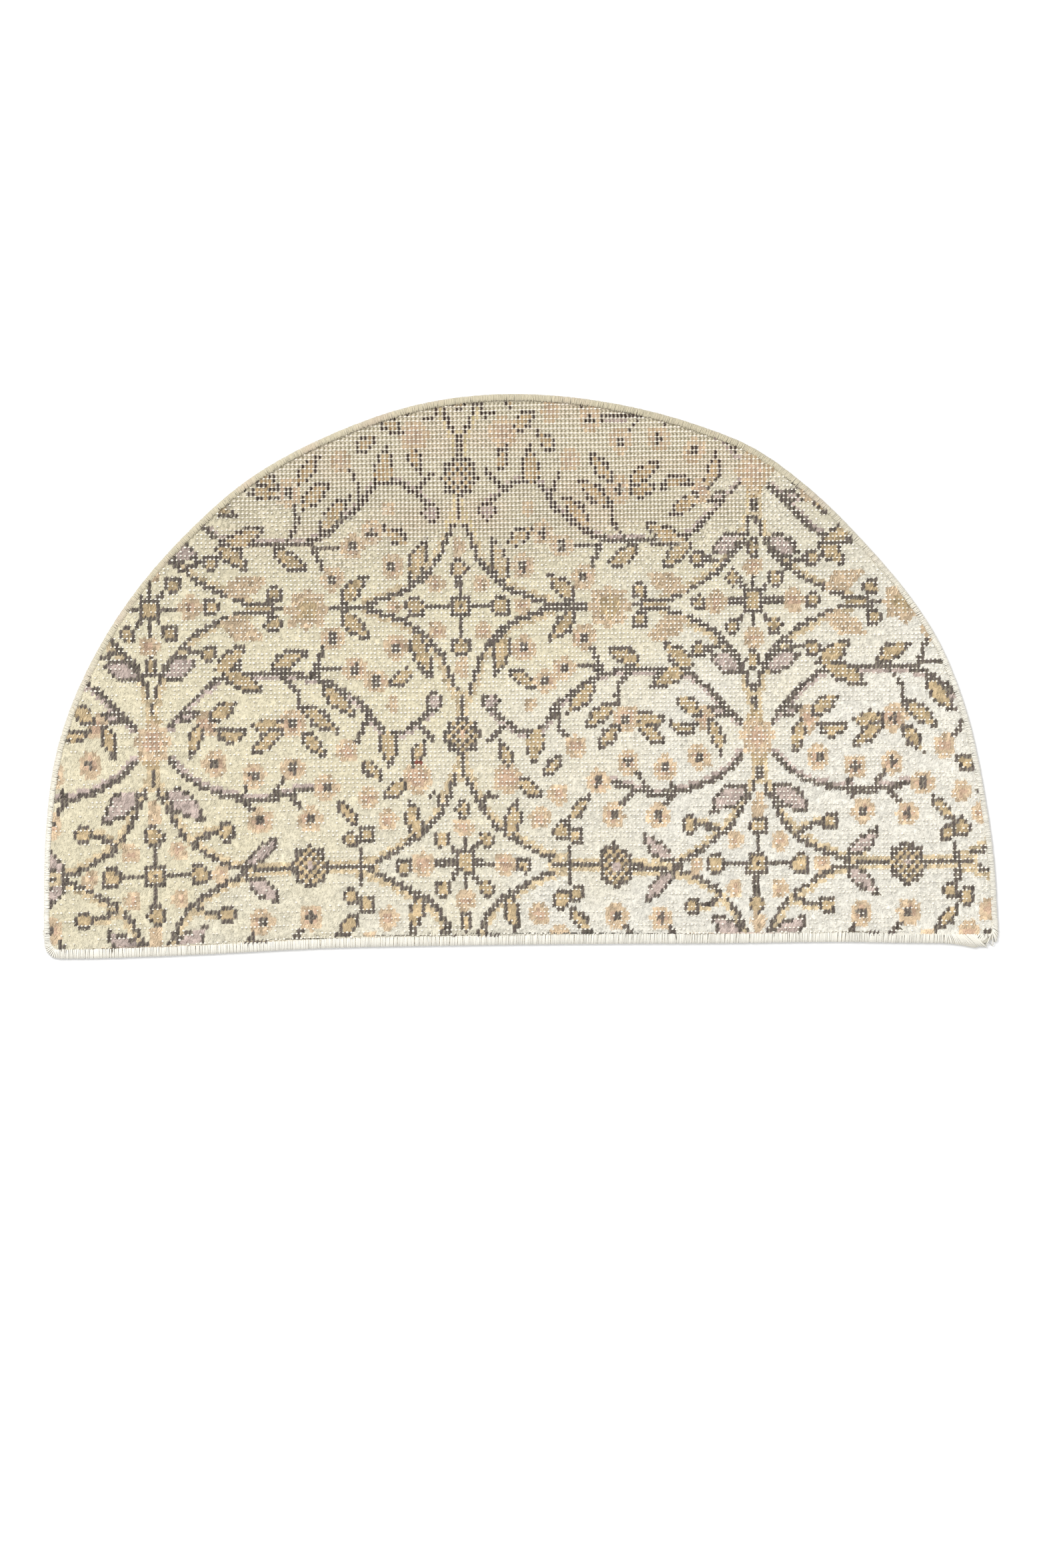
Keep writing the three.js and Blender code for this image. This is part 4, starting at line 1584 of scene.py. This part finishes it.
def add_stitches(strands, places, section, reach, yarn, slant, sink, rng, tone, wear):
    """Stitches along a section over the edge. They slant, and sink where the pile is low."""
    base, out, direction = places
    count, stations = len(base), len(section)
    unit = out / np.linalg.norm(out, axis=1, keepdims=True)
    paths = np.zeros((count, stations, 3))
    for k, (inward, across, up) in enumerate(section):
        lag = np.reshape(slant, (-1, 1)) * (1 - 2 * k / (stations - 1))
        paths[:, k, :2] = base - inward * reach[:, None] * unit + across * out + lag * direction
        paths[:, k, 2] = up - sink
    paths[:, 1:-1] += STITCH.stray * rng.standard_normal((count, 1, 3))
    paths[:, :, 2] = np.maximum(paths[:, :, 2], yarn * STITCH.clear)
    side = np.column_stack((direction, np.zeros(count)))
    wide = yarn * rng.uniform(*STITCH.half_range, count)
    strands.add(paths, side, wide, wide * STITCH.flatness, STRAND_SIDES, tone, wear)


def worn_edge(places):
    """How beige the overcast yarn is: off-white low down and at the right, beige at the crown."""
    return smooth_step(places[:, 1] - EDGE_TILT * places[:, 0], EDGE_FRESH, EDGE_BEIGE)


def add_wound(strands, edge, node, pitch, rng):
    """The turns of yarn wound round the cut rim, which slant at the tab."""
    places = edge.places(edge.spaced(pitch, rng, WOUND.ease))
    at = places[0]
    count = len(at)
    high = worn_edge(at)
    tab = np.exp(-(((at[:, 0] - TAB_MIDDLE) / TAB_REACH) ** 2)) * (at[:, 1] < BASE_ROWS)
    reach = rng.uniform(*WOUND.reaches[node], count) * MM * (1 + WOUND.crown_reach * high)
    slant = WOUND.slant + WOUND.slant_stray * rng.standard_normal(count) + TAB_SLANT * tab
    # The tone holds painted shade that darkens each stitch down the cut rim
    tone = (1 + WOUND.tone_stray * rng.standard_normal(count))[:, None] * WOUND_PAINTED_SHADE
    add_stitches(strands, places, WOUND_SECTION, reach, pitch * WOUND.half, slant, 0.0, rng, tone, high)


def add_comb(strands, edge, sizes, rng):
    """The stitches that reach over the pile like a comb, further round the crown."""
    places = edge.places(edge.spaced(sizes.comb_pitch, rng, COMB.ease))
    count = len(places[0])
    high = worn_edge(places[0])
    reach = sizes.comb_reach * rng.uniform(*COMB.reaches, count) * (1 + high)
    slant = COMB.slant_stray * rng.standard_normal(count)
    tone = COMB.light - COMB.crown_darker * high + COMB.tone_stray * rng.standard_normal(count)
    yarn, sink = sizes.comb_pitch * COMB.half, COMB.sink * high
    add_stitches(strands, places, COMB_SECTION, reach, yarn, slant, sink, rng, tone, high)


def add_core(strands, edge):
    """The bundle of wefts that the stitches are wound round."""
    at = np.linspace(0, edge.run[-1], int(edge.run[-1] / CORE.step))
    base, out, _ = edge.places(at)
    paths = np.column_stack((base + CORE.out * out, np.full(len(at), CORE.up)))[None]
    thick = CORE.share * np.linalg.norm(out, axis=1)[None, 1:-1]
    # The core's tone is a painted shade for the gaps between the stitches
    half, tone, wear = (np.full(1, size) for size in (CORE.half, CORE.tone, CORE.wear))
    strands.add(paths, UP, half, thick, CORE_SIDES, tone, wear)


def add_tuft(strands, rng):
    """The loose end of yarn that curls out of the left edge over the lower corner."""
    count = TUFT.count
    t = np.linspace(0, 1, TUFT.stations)
    turn = rng.uniform(0, 2 * np.pi, count)[:, None] + rng.uniform(*TUFT.turns, count)[:, None] * t
    reach = rng.uniform(*TUFT.reaches, count)[:, None] * MM
    middle = np.array(TUFT.middle) * MM + rng.standard_normal((count, 3)) * TUFT.spread
    curl = np.stack((reach * np.cos(turn), reach * np.sin(turn), TUFT.rise * np.sin(3 * turn)), axis=-1)
    wide = np.full(count, TUFT.half)
    tone = np.full(count, TUFT.tone)
    strands.add(middle[:, None] + curl, UP, wide, wide, STRAND_SIDES, tone, np.zeros(count))


def add_ticks(strands, knots, rng):
    """Ends of dark yarn that come out between the overcast stitches beside the outermost knots."""
    some = pick(knots, (knots["inset"] < TICK.near) & (rng.random(len(knots["x"])) < TICK.share))
    count = len(some["x"])
    at = np.stack((some["x"], some["y"]), axis=1)
    out = at - OUTLINE_CENTRE
    out[some["y"] < BASE_ROWS] = (0, -1)
    out = out / np.linalg.norm(out, axis=1, keepdims=True) + TICK.turn * rng.standard_normal((count, 2))
    low = TICK.sink * some["wear"][:, None]
    root = at + rng.uniform(-TICK.stray, TICK.stray, (count, 2)) * PITCH
    reach = (some["inset"] + rng.uniform(*TICK.reaches, count) * MM)[:, None] * out
    shares = (0, TICK.middle_at, 1)
    paths = [np.hstack((root + t * reach, up - low)) for t, up in zip(shares, TICK.heights)]
    wide = rng.uniform(*TICK.halves, count) * MM
    paths = np.stack(paths, axis=1)
    strands.add(paths, UP, wide, wide, STRAND_SIDES, some["tone"], some["wear"])


# Operators, one for each piece or group of like pieces


class RUG_OT_foundation(Operator):
    """Weave the cotton foundation, the sheet that everything else is knotted to"""

    bl_idname = "rug.foundation"
    bl_label = "Foundation"

    def execute(self, context):
        sizes, colours = context.scene.rug_sizes, context.scene.rug_colours
        points, faces, face_rows = cloth_mesh(sizes)
        cloth = add_mesh("foundation", points, faces, cloth_finish(colours))
        shades, ground = knot_shades(points, faces, face_rows, colours)
        corners = np.repeat(shades[:, None], 3, axis=1)
        knotted = cloth.data.color_attributes.new("knot_shade", "FLOAT_COLOR", "CORNER")
        knotted.data.foreach_set("color", corners.astype(np.float32).ravel())
        mask = cloth.data.attributes.new("ground", "FLOAT", "CORNER")
        mask.data.foreach_set("value", np.repeat(ground, 3).astype(np.float32))
        bake = cloth.data.uv_layers.new(name="OFBake")
        bake.uv.foreach_set("vector", cloth_map(points, faces, len(face_rows)).astype(np.float32).ravel())
        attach(cloth, "root")
        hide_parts("field")
        return {"FINISHED"}


class RUG_OT_pile(Operator):
    """Knot the wool pile, a piece for each yarn, and the ivory ground in several"""

    bl_idname = "rug.pile"
    bl_label = "Wool pile"

    def execute(self, context):
        sizes, colours = context.scene.rug_sizes, context.scene.rug_colours
        knots = knot_table()
        for yarn in range(CHARCOAL, len(YARNS)):
            name = YARNS[yarn]
            fresh = getattr(colours, name)
            worn = getattr(colours, f"{name}_worn", fresh)
            rng = np.random.default_rng(PILE_SEED + yarn)
            strands = Strands()
            some = pick(knots, knots["yarn"] == yarn)
            add_arms(strands, some, sizes, rng)
            if yarn == CHARCOAL:
                add_locks(strands, some, sizes, rng, CHARCOAL_LOCKS)
                add_nap(strands, some, sizes, rng, CHARCOAL_TIPS, CHARCOAL_STREWN)
                add_ticks(strands, some, rng)
            else:
                add_locks(strands, some, sizes, rng, DYED_LOCKS)
                add_nap(strands, some, sizes, rng, DYED_TIPS)
            finish = yarn_finish(f"{name}_wool", fresh, worn, DYED_ROOT_SHADE)
            strands.piece(f"{name}_pile", finish, NAP_SOFTNESS)
        ivory = ivory_wool(colours)
        for k, (left, right) in enumerate(zip(IVORY_CUTS[:-1], IVORY_CUTS[1:])):
            rng = np.random.default_rng(IVORY_SEED + k)
            strands = Strands()
            here = (knots["x"] >= left) & (knots["x"] < right)
            some = pick(knots, (knots["yarn"] == IVORY) & here)
            add_arms(strands, some, sizes, rng)
            add_nap(strands, some, sizes, rng, IVORY_TIPS, IVORY_STREWN)
            strands.piece(f"ivory_pile_{k + 1}", ivory, NAP_SOFTNESS)
        return {"FINISHED"}


class RUG_OT_cotton(Operator):
    """Lay the cotton wefts that show between the knots"""

    bl_idname = "rug.cotton"
    bl_label = "Cotton wefts"

    def execute(self, context):
        sizes, colours = context.scene.rug_sizes, context.scene.rug_colours
        finish = yarn_finish("weft_cotton", colours.cotton, colours.cotton_crown, COTTON_ROOT_SHADE)
        for name, flat in (("weft_beads", False), ("weft_floats", True)):
            strands = Strands()
            add_wefts(strands, sizes, np.random.default_rng(COTTON_SEED + flat), flat)
            strands.piece(name, finish)
        return {"FINISHED"}


class RUG_OT_edges(Operator):
    """Overcast the two cut edges with cream yarn"""

    bl_idname = "rug.edges"
    bl_label = "Overcast edges"

    def execute(self, context):
        sizes, colours = context.scene.rug_sizes, context.scene.rug_colours
        finish = edge_finish(colours)
        pitches = {"curved_binding": sizes.wound_pitch, "base_binding": sizes.base_pitch}
        for k, (node, pitch) in enumerate(pitches.items()):
            rng = np.random.default_rng(EDGE_SEED + k)
            edge = Edge(node)
            strands = Strands()
            add_core(strands, edge)
            add_wound(strands, edge, node, pitch, rng)
            if node == "curved_binding":
                add_comb(strands, edge, sizes, rng)
                add_tuft(strands, rng)
            made = strands.piece(node.replace("binding", "overcast"), finish)
            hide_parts(node)
        return {"FINISHED"}


class RUG_OT_stage(Operator):
    """Set out the pale floor, the soft light and the camera straight above"""

    bl_idname = "rug.stage"
    bl_label = "Stage"

    def execute(self, context):
        scene = context.scene
        settings = scene.rug_stage
        half = settings.floor_half
        corners = np.array(((-half, -half, 0), (half, -half, 0), (half, half, 0), (-half, half, 0)))
        floor = add_mesh("floor", corners, np.array(((0, 1, 2), (0, 2, 3))), floor_finish(settings))
        world = bpy.data.worlds.new("even_light")
        world.use_nodes = True
        sky = world.node_tree.nodes["Background"].inputs
        sky["Strength"].default_value = settings.sky
        sky["Color"].default_value = (1.0, 1.0, 1.0, 1.0)
        scene.world = world
        lamp = bpy.data.lights.new("soft_lamp", "AREA")
        lamp.energy = settings.lamp
        lamp.shape = "DISK"
        lamp.size = settings.lamp_width
        lamp_object = bpy.data.objects.new("soft_lamp", lamp)
        lamp_object.location = settings.lamp_place
        lamp_object.rotation_euler = (-lamp_object.location).to_track_quat("-Z", "Y").to_euler()
        scene.collection.objects.link(lamp_object)
        camera = bpy.data.cameras.new("camera")
        camera.lens = settings.lens
        camera_object = bpy.data.objects.new("camera", camera)
        camera_object.location = (settings.aim_x, settings.aim_y, settings.height)
        camera_object.rotation_euler = (0.0, 0.0, -settings.roll)
        scene.collection.objects.link(camera_object)
        scene.camera = camera_object
        scene.view_settings.view_transform = "Standard"
        return {"FINISHED"}


class RUG_PT_panel(Panel):
    """Lists the rug's pieces in the sidebar"""

    bl_label = "Half-round wool rug"
    bl_idname = "RUG_PT_panel"
    bl_space_type = "VIEW_3D"
    bl_region_type = "UI"
    bl_category = "Rug"

    def draw(self, context):
        layout = self.layout
        for operator in PIECES:
            layout.operator(operator.bl_idname)
        for group in (context.scene.rug_sizes, context.scene.rug_colours, context.scene.rug_stage):
            for name in group.__annotations__:
                layout.prop(group, name)


PIECES = (RUG_OT_foundation, RUG_OT_pile, RUG_OT_cotton, RUG_OT_edges, RUG_OT_stage)
CLASSES = (RugSizes, RugColours, StageSettings, *PIECES, RUG_PT_panel)


def register():
    """Adds the settings, the operators and the panel."""
    for entry in CLASSES:
        bpy.utils.register_class(entry)
    bpy.types.Scene.rug_sizes = PointerProperty(type=RugSizes)
    bpy.types.Scene.rug_colours = PointerProperty(type=RugColours)
    bpy.types.Scene.rug_stage = PointerProperty(type=StageSettings)


def unregister():
    """Takes them away again."""
    del bpy.types.Scene.rug_stage
    del bpy.types.Scene.rug_colours
    del bpy.types.Scene.rug_sizes
    for entry in reversed(CLASSES):
        bpy.utils.unregister_class(entry)


def main():
    """Makes the rug and its stage, and works out the field's area in plan."""
    register()
    bpy.ops.rug.foundation()
    bpy.ops.rug.pile()
    bpy.ops.rug.cotton()
    bpy.ops.rug.edges()
    bpy.ops.rug.stage()
    plan_area(field_outline())


if __name__ == "__main__":
    main()
